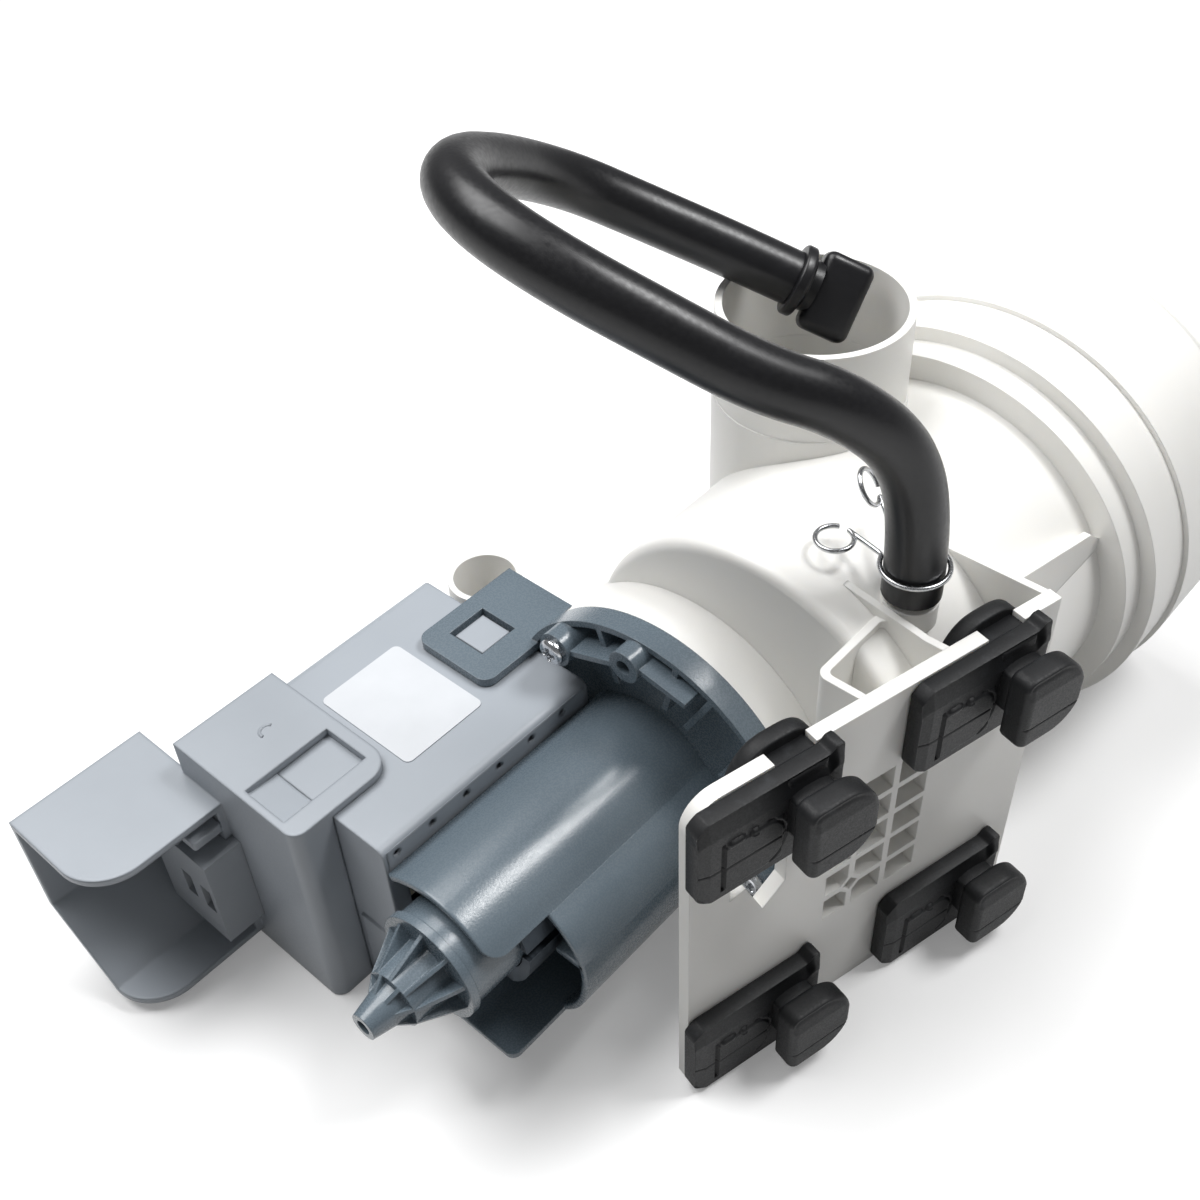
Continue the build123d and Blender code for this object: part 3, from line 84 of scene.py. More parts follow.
def mouldedMaterial(name, look):
    # moulded plastic or rubber: a colour that drifts a little, a fine grain in the gloss and a low bump
    material, tree = newMaterial(name)
    spot = addNode(tree, "ShaderNodeTexCoord").outputs["Object"]
    drift = addNode(tree, "ShaderNodeTexNoise", {"Scale": 1 / (look["driftMm"] * mm), "Detail": 3.0},
                    {"Vector": spot})
    grain = addNode(tree, "ShaderNodeTexNoise", {"Scale": 1 / (look["grainMm"] * mm), "Detail": 4.0},
                    {"Vector": spot})
    colour = addNode(tree, "ShaderNodeMix",
                     {"data_type": "RGBA", 6: toLinear(look["dark"]), 7: toLinear(look["light"])},
                     {"Factor": drift.outputs["Fac"]})
    rough = addNode(tree, "ShaderNodeMapRange",
                    {"From Min": noiseSpan[0], "From Max": noiseSpan[1],
                     "To Min": look["rough"][0], "To Max": look["rough"][1]},
                    {"Value": grain.outputs["Fac"]})
    bump = addNode(tree, "ShaderNodeBump",
                   {"Strength": look["bump"], "Distance": look.get("bumpMm", mouldedBump) * mm},
                   {"Height": grain.outputs["Fac"]})
    if "edge" in look:  # shades the solid's sharp edges as rounds of this radius
        edge = addNode(tree, "ShaderNodeBevel", {"samples": bevelSamples, "Radius": look["edge"] * mm})
        tree.links.new(edge.outputs["Normal"], bump.inputs["Normal"])
    shader = addNode(tree, "ShaderNodeBsdfPrincipled", {"IOR": look.get("ior", 1.5)},
                     {"Base Color": colour.outputs[2], "Roughness": rough.outputs["Result"],
                      "Normal": bump.outputs["Normal"]})
    if "subsurface" in look:  # light goes 2.5 mm deep, red the furthest
        shader.inputs["Subsurface Weight"].default_value = look["subsurface"]
        shader.inputs["Subsurface Radius"].default_value = (1.0, 0.9, 0.75)
        shader.inputs["Subsurface Scale"].default_value = 2.5 * mm
    if "coat" in look:
        shader.inputs["Coat Weight"].default_value = look["coat"]
        shader.inputs["Coat Roughness"].default_value = look["coatRough"]
    if "wear" in look:  # pale scuffs: none below the noise's first value, their full share from its second on
        scuff = addNode(tree, "ShaderNodeTexNoise",
                        {"Scale": 1 / (look["wearMm"] * mm), "Detail": 6.0, "Roughness": 0.7},
                        {"Vector": spot})
        share = addNode(tree, "ShaderNodeMapRange",
                        {"From Min": look["wearFrom"][0], "From Max": look["wearFrom"][1],
                         "To Max": look["wearShare"]},
                        {"Value": scuff.outputs["Fac"]})
        worn = addNode(tree, "ShaderNodeMix", {"data_type": "RGBA", 7: toLinear(look["wear"])},
                       {"Factor": share.outputs["Result"], 6: colour.outputs[2]})
        tree.links.new(worn.outputs[2], shader.inputs["Base Color"])
    addNode(tree, "ShaderNodeOutputMaterial", {}, {"Surface": shader.outputs["BSDF"]})
    return material


def metalMaterial(name, look):
    # metal with a soft drift in its gloss and fine drawn lines along one axis
    material, tree = newMaterial(name)
    spot = addNode(tree, "ShaderNodeTexCoord").outputs["Object"]
    stretch = addNode(tree, "ShaderNodeMapping", {"Scale": look["stretch"]}, {"Vector": spot})
    lines = addNode(tree, "ShaderNodeTexNoise", {"Scale": 1 / (look["grainMm"] * mm), "Detail": 3.0},
                    {"Vector": stretch.outputs["Vector"]})
    colour = addNode(tree, "ShaderNodeMix",
                     {"data_type": "RGBA", 6: toLinear(look["dark"]), 7: toLinear(look["light"])},
                     {"Factor": lines.outputs["Fac"]})
    rough = addNode(tree, "ShaderNodeMapRange",
                    {"From Min": noiseSpan[0], "From Max": noiseSpan[1],
                     "To Min": look["rough"][0], "To Max": look["rough"][1]},
                    {"Value": lines.outputs["Fac"]})
    bump = addNode(tree, "ShaderNodeBump", {"Strength": look["bump"], "Distance": metalBump * mm},
                   {"Height": lines.outputs["Fac"]})
    shader = addNode(tree, "ShaderNodeBsdfPrincipled", {"Metallic": 1.0},
                     {"Base Color": colour.outputs[2], "Roughness": rough.outputs["Result"],
                      "Normal": bump.outputs["Normal"]})
    addNode(tree, "ShaderNodeOutputMaterial", {}, {"Surface": shader.outputs["BSDF"]})
    return material


finishes = {
    # injection moulded polypropylene: slightly translucent, satin, warm white
    "whitePolypropylene": dict(dark="#e8e7e3", light="#f0efec", driftMm=40, grainMm=0.9, rough=(0.34, 0.46),
                               bump=0.10, subsurface=0.12, edge=0.5),
    # glass-filled polyamide: slate grey, glossy skin over a fine grain that breaks up highlights
    "slatePolyamide": dict(dark="#59656e", light="#626e77", driftMm=25, grainMm=0.55, rough=(0.2, 0.34),
                           bump=0.6, bumpMm=0.06, coat=0.2, coatRough=0.16, edge=0.5),
    # moulded ABS blend: light grey, satin
    "greyAbs": dict(dark="#92989f", light="#9ba1a8", driftMm=30, grainMm=0.6, rough=(0.34, 0.48), bump=0.12,
                    edge=1.3),
    # socket polyamide, matt
    "socketPolyamide": dict(dark="#8f949a", light="#999ea4", driftMm=12, grainMm=0.5, rough=(0.45, 0.6),
                            bump=0.15, edge=0.3),
    # extruded EPDM: near black, satin with long soft highlights
    "hoseEpdm": dict(dark="#131315", light="#1a1a1d", driftMm=14, grainMm=1.2, rough=(0.28, 0.4), bump=0.12,
                     bumpMm=0.08, ior=1.46),
    # compression moulded rubber: charcoal, matt with pale scuffs
    "mountRubber": dict(dark="#111214", light="#18191b", driftMm=8, grainMm=0.5, rough=(0.46, 0.64), bump=0.3,
                        bumpMm=0.08, wear="#2e3033", wearMm=7.0, wearFrom=(0.55, 0.72), wearShare=0.6,
                        ior=1.4),
    # sealing ring rubber
    "sealRubber": dict(dark="#1d1d1e", light="#262627", driftMm=8, grainMm=0.4, rough=(0.5, 0.7), bump=0.2),
    # the cap's ring in undyed silicone: milky, satin
    "paleSilicone": dict(dark="#d6d5d0", light="#e0dfdb", driftMm=20, grainMm=0.6, rough=(0.4, 0.55),
                         bump=0.1, subsurface=0.2),
    # label film: white, satin, with a faint paper grain; kept under white so that the lamps don't clip it
    "labelFilm": dict(dark="#bfc2c6", light="#c7cace", driftMm=9, grainMm=0.25, rough=(0.32, 0.45), bump=0.05),
    # bobbin polyamide: cream, matt
    "bobbinPolyamide": dict(dark="#cfc9b4", light="#dcd6c3", driftMm=10, grainMm=0.4, rough=(0.45, 0.6),
                            bump=0.1),
    # coil tape over enamelled wire: amber, glossy
    "coilTape": dict(dark="#8a4a1e", light="#a35a24", driftMm=5, grainMm=0.35, rough=(0.25, 0.4), bump=0.3),
    # black polypropylene of the impeller and the bearing carrier
    "blackPolypropylene": dict(dark="#1c1d1f", light="#26272a", driftMm=9, grainMm=0.5, rough=(0.35, 0.5),
                               bump=0.15, edge=0.3),
    # strainer polypropylene: grey white
    "strainerPolypropylene": dict(dark="#d5d5d1", light="#dededb", driftMm=20, grainMm=0.6, rough=(0.36, 0.5),
                                  bump=0.1, subsurface=0.08),
    # pressed ferrite: near black, matt
    "ferrite": dict(dark="#2a2a2c", light="#363638", driftMm=4, grainMm=0.3, rough=(0.6, 0.75), bump=0.3),
}
metals = {
    # zinc plated steel, bright with a faint blue
    "zincSteel": dict(dark="#b9bcc0", light="#d4d6d9", stretch=(1, 1, 1), grainMm=0.8, rough=(0.16, 0.3),
                      bump=0.1),
    # drawn spring steel wire
    "springSteel": dict(dark="#a8aaad", light="#cfd0d2", stretch=(1, 1, 6), grainMm=0.5, rough=(0.18, 0.3),
                        bump=0.1),
    # electrical steel sheets seen at their edges, oxide dark: lines 0.5 mm apart along the shaft
    "coreSteel": dict(dark="#363c42", light="#50575e", stretch=(8, 0.5, 0.5), grainMm=4.0, rough=(0.4, 0.6),
                      bump=0.5),
    # tinned brass
    "tinnedBrass": dict(dark="#b4b0a4", light="#cbc7ba", stretch=(1, 1, 1), grainMm=0.6, rough=(0.28, 0.42),
                        bump=0.1),
    # sintered bronze
    "sinteredBronze": dict(dark="#8a6a44", light="#a57f54", stretch=(1, 1, 1), grainMm=0.3, rough=(0.4, 0.6),
                           bump=0.3),
}
material = {name: mouldedMaterial(name, look) for name, look in finishes.items()}
material.update({name: metalMaterial(name, look) for name, look in metals.items()})
print("materials:", len(material))

finishNodes = {
    "whitePolypropylene": ["pump_housing", "inlet_port", "mounting_plate", "plate_webs", "pump_collar",
                           "discharge_pipe", "filter_cap"],
    "slatePolyamide": ["pump_cover", "rotor_can", "cover_shroud"],
    "greyAbs": ["motor_case", "terminal_cover"], "socketPolyamide": ["terminal_block"],
    "sealRubber": ["cover_seal"], "paleSilicone": ["cap_seal"], "labelFilm": ["rating_label"],
    "zincSteel": ["cover_screws", "rotor_shaft"], "tinnedBrass": ["terminal_blades"],
    "coreSteel": ["stator_core"],
    "bobbinPolyamide": ["coil_bobbins"], "coilTape": ["coil_windings"], "ferrite": ["rotor_magnet"],
    "blackPolypropylene": ["thermal_cutout", "bearing_carrier", "impeller"],
    "sinteredBronze": ["front_bush", "rear_bush"], "strainerPolypropylene": ["filter_basket"],
    "mountRubber": ["rubber_mount_ul", "rubber_mount_ur", "rubber_mount_ll", "rubber_mount_lr"],
    "hoseEpdm": ["vent_hose", "hose_end_fitting"], "springSteel": ["hose_clamp"],
}
for finish, names in finishNodes.items():
    for name in names:
        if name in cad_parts:
            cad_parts[name].data.materials.clear()
            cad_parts[name].data.materials.append(material[finish])

# the photo's own view: its focal length in the pixels of a frame this wide, and the camera's place and turn
photoView = dict(sensor=36.0, focalPixels=1455.0, framePixels=1200.0, nearest=0.01,
                 pose=((0.66259, 0.53390, -0.52530, -0.29549),
                       (-0.74802, 0.43615, -0.50023, -0.19311),
                       (-0.03796, 0.72438, 0.68835, 0.22007),
                       (0.0, 0.0, 0.0, 1.0)))
cameraData = bpy.data.cameras.new("photoCamera")
cameraData.sensor_width = photoView["sensor"]
cameraData.sensor_fit = "HORIZONTAL"
cameraData.lens = photoView["sensor"] * photoView["focalPixels"] / photoView["framePixels"]
cameraData.clip_start = photoView["nearest"]
camera = bpy.data.objects.new("photoCamera", cameraData)
bpy.context.scene.collection.objects.link(camera)
camera.matrix_world = Matrix(photoView["pose"])
bpy.context.scene.camera = camera
bpy.context.scene.view_settings.view_transform = "Standard"

# the colour seen, the colour that lights the part, and where the floor fades to plain white
stage = dict(size=6.0, seen="#e8e8e8", bounce="#a0a0a0", lift=0.18, fade=(0.45, 1.1))
floorMesh = bpy.data.meshes.new("floor")
half = stage["size"] / 2
table = -portTop * mm
floorMesh.from_pydata([(-half, -half, table), (half, -half, table), (half, half, table), (-half, half, table)],
                      [], [(0, 1, 2, 3)])
floor = bpy.data.objects.new("floor", floorMesh)
bpy.context.scene.collection.objects.link(floor)
floorMaterial, tree = newMaterial("pale sheet")
path = addNode(tree, "ShaderNodeLightPath")
seen = addNode(tree, "ShaderNodeMath", {"operation": "MAXIMUM"},
               {0: path.outputs["Is Camera Ray"], 1: path.outputs["Is Glossy Ray"]})
seenToo = addNode(tree, "ShaderNodeMath", {"operation": "MAXIMUM"},
                  {0: seen.outputs[0], 1: path.outputs["Is Transmission Ray"]})
spot = addNode(tree, "ShaderNodeTexCoord").outputs["Object"]
away = addNode(tree, "ShaderNodeVectorMath", {"operation": "LENGTH"}, {0: spot})
far = addNode(tree, "ShaderNodeMapRange",
              {"interpolation_type": "SMOOTHSTEP", "From Min": stage["fade"][0], "From Max": stage["fade"][1]},
              {"Value": away.outputs["Value"]})
strength = addNode(tree, "ShaderNodeMapRange", {"To Min": stage["lift"], "To Max": 1.0},
                   {"Value": far.outputs["Result"]})
lift = addNode(tree, "ShaderNodeMath", {"operation": "MULTIPLY"},
               {0: seenToo.outputs[0], 1: strength.outputs["Result"]})
nearTone = addNode(tree, "ShaderNodeMix",
                   {"data_type": "RGBA", 6: toLinear(stage["seen"]), 7: (0, 0, 0, 1)},
                   {"Factor": far.outputs["Result"]})
tone = addNode(tree, "ShaderNodeMix", {"data_type": "RGBA", 6: toLinear(stage["bounce"])},
               {"Factor": seenToo.outputs[0], 7: nearTone.outputs[2]})
sheet = addNode(tree, "ShaderNodeBsdfDiffuse", {}, {"Color": tone.outputs[2]})
glow = addNode(tree, "ShaderNodeEmission", {"Color": (1, 1, 1, 1)}, {"Strength": lift.outputs[0]})
both = addNode(tree, "ShaderNodeAddShader", {}, {0: sheet.outputs[0], 1: glow.outputs[0]})
addNode(tree, "ShaderNodeOutputMaterial", {}, {"Surface": both.outputs[0]})
floorMesh.materials.append(floorMaterial)

sky = dict(fill=0.2, seen=1.0)  # what lights the part, and what the camera sees behind it
world = bpy.data.worlds.new("studio")
bpy.context.scene.world = world
world.use_nodes = True
tree = world.node_tree
tree.nodes.clear()
path = addNode(tree, "ShaderNodeLightPath")
dim = addNode(tree, "ShaderNodeBackground", {"Color": (1, 1, 1, 1), "Strength": sky["fill"]})
white = addNode(tree, "ShaderNodeBackground", {"Color": (1, 1, 1, 1), "Strength": sky["seen"]})
pick = addNode(tree, "ShaderNodeMixShader", {},
               {"Fac": path.outputs["Is Camera Ray"], 1: dim.outputs[0], 2: white.outputs[0]})
addNode(tree, "ShaderNodeOutputWorld", {}, {"Surface": pick.outputs[0]})

# each lamp: where it stands from the part's middle, its size in metres, its power in watts
lamps = {
    "overheadSoftbox": dict(offset=(-0.12, 0.62, 1.35), size=(1.2, 0.9), power=25.0),
    "ridgeSoftbox": dict(offset=(0.63, -0.42, 1.29), size=(0.5, 0.45), power=14.5),
}
middle = Vector((-0.10, -0.02, -0.08))
for name, lamp in lamps.items():
    data = bpy.data.lights.new(name, "AREA")
    data.shape = "RECTANGLE"
    data.size, data.size_y = lamp["size"]
    data.energy = lamp["power"]
    light = bpy.data.objects.new(name, data)
    bpy.context.scene.collection.objects.link(light)
    light.location = middle + Vector(lamp["offset"])
    light.rotation_euler = (-Vector(lamp["offset"])).to_track_quat("-Z", "Y").to_euler()
print("camera, floor and lights")


def gridPart(points, caps=True):
    # a grid of points whose rows close on themselves: point (i, j) joins (i, j + 1), (i + 1, j + 1) and
    # (i + 1, j)
    rows, columns = points.shape[:2]
    i = np.arange(rows - 1)[:, None] * columns
    j = np.arange(columns)[None, :]
    k = (j + 1) % columns
    quads = np.stack([i + j, i + k, i + columns + k, i + columns + j], -1).reshape(-1, 4).tolist()
    if caps:
        quads += [list(range(columns)), list(range((rows - 1) * columns, rows * columns))]
    return points.reshape(-1, 3), quads


def makePiece(name, parts, finish, body, replaced=(), smooth=35):
    # closed grids joined into one mesh, their doubles merged and their faces turned outwards
    points, faces, start = [], [], 0
    for partPoints, partFaces in parts:
        points.append(partPoints)
        faces += [[start + i for i in face] for face in partFaces]
        start += len(partPoints)
    mesh = bpy.data.meshes.new(name)
    mesh.from_pydata(np.concatenate(points).tolist(), [], faces)
    work = bmesh.new()
    work.from_mesh(mesh)
    bmesh.ops.remove_doubles(work, verts=work.verts, dist=weld * mm)
    bmesh.ops.dissolve_degenerate(work, edges=work.edges, dist=weld * mm)
    bmesh.ops.recalc_face_normals(work, faces=work.faces)
    work.to_mesh(mesh)
    work.free()
    mesh.materials.append(material[finish])
    mesh.shade_smooth()
    mesh.set_sharp_from_angle(angle=math.radians(smooth))
    piece = bpy.data.objects.new(name, mesh)
    bpy.context.scene.collection.objects.link(piece)
    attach(piece, body)
    if replaced:
        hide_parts(*replaced)
    return piece


def roundedOutline(width, height, radii, steps=8):
    # a rectangle's outline with its own corner radii: corner centre + radius * (cos a, sin a), a quarter turn
    # each
    quarter = np.linspace(0, math.pi / 2, steps)
    loops = []
    for corner, (sx, sy) in enumerate([(1, 1), (-1, 1), (-1, -1), (1, -1)]):
        r = max(radii[corner], sharpest)
        a = quarter + corner * math.pi / 2
        x = sx * (width / 2 - r) + r * np.cos(a)
        y = sy * (height / 2 - r) + r * np.sin(a)
        loops.append(np.stack([x, y], -1))
    return np.concatenate(loops)


def pillow(width, height, radii, depth, edge, steps=8, edgeSteps=7):
    # a rounded block from z = 0 to depth: the outline drawn in by edge * (1 - sin a) at edge * (1 - cos a)
    a = np.linspace(0, math.pi / 2, edgeSteps)
    inset = np.concatenate([edge * (1 - np.sin(a)), edge * (1 - np.sin(a))[::-1]])
    z = np.concatenate([edge * (1 - np.cos(a)), depth - edge * (1 - np.cos(a))[::-1]])
    rows = [np.column_stack([roundedOutline(width - 2 * i, height - 2 * i, [r - i for r in radii], steps),
                             np.full(4 * steps, h)]) for i, h in zip(inset, z)]
    return np.stack(rows)


def lathe(profile, steps=64):
    # a profile of radius and height turned about z: (r cos a, r sin a, h)
    radius, height = np.asarray(profile, float).T[:, :, None]
    a = np.linspace(0, 2 * math.pi, steps, endpoint=False)
    return np.stack([radius * np.cos(a), radius * np.sin(a), height * np.ones(steps)], -1)


def tube(path, radius, up, steps=12):
    # a circle carried along a path: p + radius * (n cos a + b sin a), n square to the path and nearest to up
    path = np.asarray(path, float)
    t = np.gradient(path, axis=0)
    t /= np.linalg.norm(t, axis=1, keepdims=True)
    up = np.asarray(up, float)
    n = up - t * (t @ up)[:, None]
    n /= np.linalg.norm(n, axis=1, keepdims=True)
    b = np.cross(t, n)
    a = np.linspace(0, 2 * math.pi, steps, endpoint=False)
    ring = n[:, None, :] * np.cos(a)[None, :, None] + b[:, None, :] * np.sin(a)[None, :, None]
    return path[:, None, :] + radius * ring


def inFrame(points, origin, xDir, zDir):
    # local points to the frame: origin + x * xDir + y * (zDir cross xDir) + z * zDir, in mm
    z = np.asarray(zDir, float) / np.linalg.norm(zDir)
    x = np.asarray(xDir, float) - z * np.dot(xDir, z)
    x /= np.linalg.norm(x)
    return place(np.asarray(origin, float) + points @ np.stack([x, np.cross(z, x), z]))


# the mounting plate's left end, and its skew to the motor's axis
plate = dict(left=(-137.5, -66.8), turn=math.radians(-14.2))


def onPlate(s, z, offset):
    # s mm along the plate, z up and offset out of its face, to the frame
    c, n = math.cos(plate["turn"]), math.sin(plate["turn"])
    x = plate["left"][0] + c * s + n * offset
    y = plate["left"][1] + n * s - c * offset
    return place(np.stack([x, y, z], -1))


def smoothStep(x):
    # 0 below 0, 1 above 1, 3x^2 - 2x^3 between
    x = np.clip(x, 0, 1)
    return x * x * (3 - 2 * x)


def reliefBlock(stations, lower, upper, back, front, edge, relief=None, rows=30, backEdge=0.6):
    # a block on the plate whose outline runs from lower(s) to upper(s). At a distance d from the outline its
    # faces drop by edge - sqrt(edge^2 - (edge - d)^2), and relief(s, z, d) mm is added to the front one
    s = np.asarray(stations, float)[:, None]
    v = np.linspace(0, 1, rows)[None, :]
    v = 0.6 * v + 0.4 * smoothStep(v)  # rows closer together towards both edges
    low, high = lower(s), upper(s)
    z = low + v * (high - low)
    leanLow = 1 / np.sqrt(1 + np.gradient(low[:, 0], s[:, 0]) ** 2)[:, None]
    leanHigh = 1 / np.sqrt(1 + np.gradient(high[:, 0], s[:, 0]) ** 2)[:, None]
    d = np.minimum(np.minimum(s - s[0], s[-1] - s), np.minimum((z - low) * leanLow, (high - z) * leanHigh))
    s = s + 0 * z
    frontOffset = front - edge + np.sqrt(np.maximum(edge ** 2 - np.maximum(edge - d, 0) ** 2, 0))
    backOffset = back + backEdge - np.sqrt(np.maximum(backEdge ** 2 - np.maximum(backEdge - d, 0) ** 2, 0))
    if relief is not None:
        frontOffset = frontOffset + relief(s, z, d)
    ends = np.concatenate([s, s[:, ::-1]], 1), np.concatenate([z, z[:, ::-1]], 1)
    return gridPart(onPlate(ends[0], ends[1], np.concatenate([frontOffset, backOffset[:, ::-1]], 1)))


def between(x, low, high, soft):
    # 1 from low to high, falling to 0 over soft mm on each side
    return smoothStep((x - low) / soft + 1) * smoothStep((high - x) / soft + 1)


# a mount's sizes: along it from its left end, up from its foot, and out from the plate's face
rubber = dict(
    length=43.0, height=30.0, slab=(0.25, 5.6), chamfer=4.0, topChamfer=3.2, edge=1.0, fade=0.8,
    bevelTop=6.5, bevelDrop=1.7, bevelLeft=3.6, bevelLeftDrop=1.2,
    earStart=38.2, earRun=2.6, earRise=1.8, tipStart=42.2, tipRun=0.8, tipDrop=0.9,
    corner=(38, 23), cornerRun=(3, 5), cornerRise=0.8,
    pad=(7.6, 24.4, 3.6, 18.6), padRise=0.45, padSoft=0.5,
    groove=dict(width=0.7, depth=0.9, soft=0.25, under=0.4, over=1.6, endSoft=0.3),
    arc=dict(inset=7.0, up=0.5, ring=(8.3, 8.7), soft=0.4, depth=0.35, start=5.0, run=2.0),
    lumps=[(3.2, 0.9, 2.6, 0.8), (8.4, 0.6, 1.1, 0.9)], lumpLean=0.25,
    partLine=11.4, lineHalf=0.1, lineSoft=0.22, lineDepth=0.28,
    knob=(24.0, 45.0, 4.4, 27.8), knobFront=(9.6, 17.2), knobLeftRound=3.0, knobRightRound=10.2,
    knobEdge=2.2, knobBackEdge=1.2, knobFade=1.2, knobLine=-4.0, knobLineDepth=0.3,
    taperStart=6.5, taperRun=5.0, taperDrop=1.1,
    neck=(26.25, 38.35), neckLow=10.25, neckTop=24.25, neckTopOpen=28.6, neckOffsets=(-5.0, 5.0),
    neckEdge=0.4, waist=1.3, stemOffsets=(4.2, 11.2),
    lip=(17.5, 43.5), lipHeight=18.0, lipRise=1.2, lipRiseOpen=1.9, lipFoot=15.0, humpFoot=15.6,
    humpShare=0.86, humpBase=0.25, humpSkew=1.15, humpFlat=3.2, humpRound=0.6, lipOffsets=(-9.6, -4.45),
    lipEdge=0.5, lipBackEdge=1.8,
    grid=dict(slab=(170, 120), knob=(80, 80), neck=24, stem=30, lip=(60, 40)))


def cornerFall(a, size):
    # a chamfer with a round foot: half of size - a and of size - sqrt(size^2 - (size - a)^2)
    a = np.clip(a, 0, size)
    return 0.5 * (size - a) + 0.5 * (size - np.sqrt(size ** 2 - (size - a) ** 2))


def rubberMount(name, left, bottom, openNotch):
    # a slab with a raised pad, a knob before it on a waisted stem, a neck through the plate and a lip behind it
    r = rubber
    grid = r["grid"]

    def slabLower(s):
        # the foot, chamfered at the left end
        return bottom + cornerFall(s - left, r["chamfer"])

    def slabUpper(s):
        # the top edge steps up by earRise towards the right end, and its very tip falls again
        a = s - left
        return (bottom + r["height"] - cornerFall(a, r["topChamfer"])
                + r["earRise"] * smoothStep((a - r["earStart"]) / r["earRun"])
                - r["tipDrop"] * smoothStep((a - r["tipStart"]) / r["tipRun"]))

    def slabRelief(s, z, d):
        # straight bevels at the top and the left, the pad up, a groove and an arc down, two lumps of height
        # sqrt(1 - x^4 - y^4), the parting line, and the upper right corner up; all fade out at the rim
        a, h = s - left, z - bottom
        top = slabUpper(s) - bottom
        rise = -r["bevelDrop"] * np.clip((h - top + r["bevelTop"]) / r["bevelTop"], 0, 1)
        rise -= r["bevelLeftDrop"] * np.clip((r["bevelLeft"] - a) / r["bevelLeft"], 0, 1)
        a0, a1, h0, h1 = r["pad"]
        rise += r["padRise"] * between(a, a0, a1, r["padSoft"]) * between(h, h0, h1, r["padSoft"])
        g = r["groove"]
        rise -= (g["depth"] * between(a, a0 - g["width"], a0, g["soft"])
                 * between(h, h0 - g["under"], h1 + g["over"], g["endSoft"]))
        c = r["arc"]
        ring = np.hypot(a - (a1 - c["inset"]), h - (h0 + h1) / 2 - c["up"])
        rise -= (c["depth"] * between(ring, *c["ring"], c["soft"])
                 * smoothStep((a - a1 + c["start"]) / c["run"]))
        for x, y, halfWide, halfHigh in r["lumps"]:
            up = h - h1 - y
            along = (a - a0 - x - r["lumpLean"] * up) / halfWide
            rise += np.sqrt(np.clip(1 - along ** 4 - (up / halfHigh) ** 4, 0, 1))
        rise -= r["lineDepth"] * between(h - r["partLine"], -r["lineHalf"], r["lineHalf"], r["lineSoft"])
        cornerA, cornerH = r["corner"]
        runA, runH = r["cornerRun"]
        rise += r["cornerRise"] * smoothStep((a - cornerA) / runA) * smoothStep((h - cornerH) / runH)
        return rise * smoothStep(d / r["fade"])

    knobLeft, knobRight, knobLow, knobHigh = r["knob"]
    knobMiddle = bottom + (knobLow + knobHigh) / 2

    def knobHalf(s):
        # half the knob's height, less a quarter circle's fall at each end
        a = s - left - knobLeft
        rl, rr = r["knobLeftRound"], r["knobRightRound"]
        leftFall = rl - np.sqrt(np.maximum(rl ** 2 - np.maximum(rl - a, 0) ** 2, 0))
        rightFall = rr - np.sqrt(np.maximum(rr ** 2 - np.maximum(a - (knobRight - knobLeft - rr), 0) ** 2, 0))
        return (knobHigh - knobLow) / 2 - leftFall - rightFall

    def knobRelief(s, z, d):
        # the parting line, and a straight fall towards the knob's top
        h = z - knobMiddle
        rise = -r["knobLineDepth"] * between(h - r["knobLine"], -r["lineHalf"], r["lineHalf"], r["lineSoft"])
        rise -= r["taperDrop"] * np.clip((h - r["taperStart"]) / r["taperRun"], 0, 1)
        return rise * smoothStep(d / r["knobFade"])

    slabStations = left + np.linspace(0, r["length"], grid["slab"][0])
    slab = reliefBlock(slabStations, slabLower, slabUpper, *r["slab"], r["edge"], slabRelief,
                       rows=grid["slab"][1])
    t = np.linspace(0, math.pi, grid["knob"][0])
    knobStations = left + (knobLeft + knobRight) / 2 - (knobRight - knobLeft) / 2 * np.cos(t)
    knob = reliefBlock(knobStations, lambda s: knobMiddle - knobHalf(s), lambda s: knobMiddle + knobHalf(s),
                       *r["knobFront"], r["knobEdge"], knobRelief, rows=grid["knob"][1],
                       backEdge=r["knobBackEdge"])

    n0, n1 = left + r["neck"][0], left + r["neck"][1]
    neckLow = bottom + r["neckLow"]
    neckTop = bottom + (r["neckTopOpen"] if openNotch else r["neckTop"])
    neck = reliefBlock(np.linspace(n0, n1, grid["neck"]), lambda s: neckLow + 0 * s,
                       lambda s: neckTop + 0 * s, *r["neckOffsets"], r["neckEdge"])
    # the stem swells by waist * sqrt(sin(pi u)) from end to end
    swell = lambda s: r["waist"] * np.sin(np.clip((s - n0) / (n1 - n0), 0, 1) * math.pi) ** 0.5
    stem = reliefBlock(np.linspace(n0, n1, grid["stem"]), lambda s: neckLow + r["waist"] - swell(s),
                       lambda s: bottom + r["neckTop"] - r["waist"] + swell(s), *r["stemOffsets"],
                       r["neckEdge"])

    l0, l1 = left + r["lip"][0], left + r["lip"][1]
    lipTop = bottom + r["height"] + (r["lipRiseOpen"] if openNotch else r["lipRise"])

    def lipUpper(s):
        # a hump: base + (1 - base) * (1 - |2 u^skew - 1|^flat)^round, times its height
        u = np.clip((s - l0) / (l1 - l0), 0.0, 1.0)
        swollen = (1 - np.abs(2 * u ** r["humpSkew"] - 1) ** r["humpFlat"]) ** r["humpRound"]
        hump = r["lipHeight"] * (r["humpBase"] + (1 - r["humpBase"]) * swollen)
        return lipTop - r["humpFoot"] + hump * r["humpShare"]

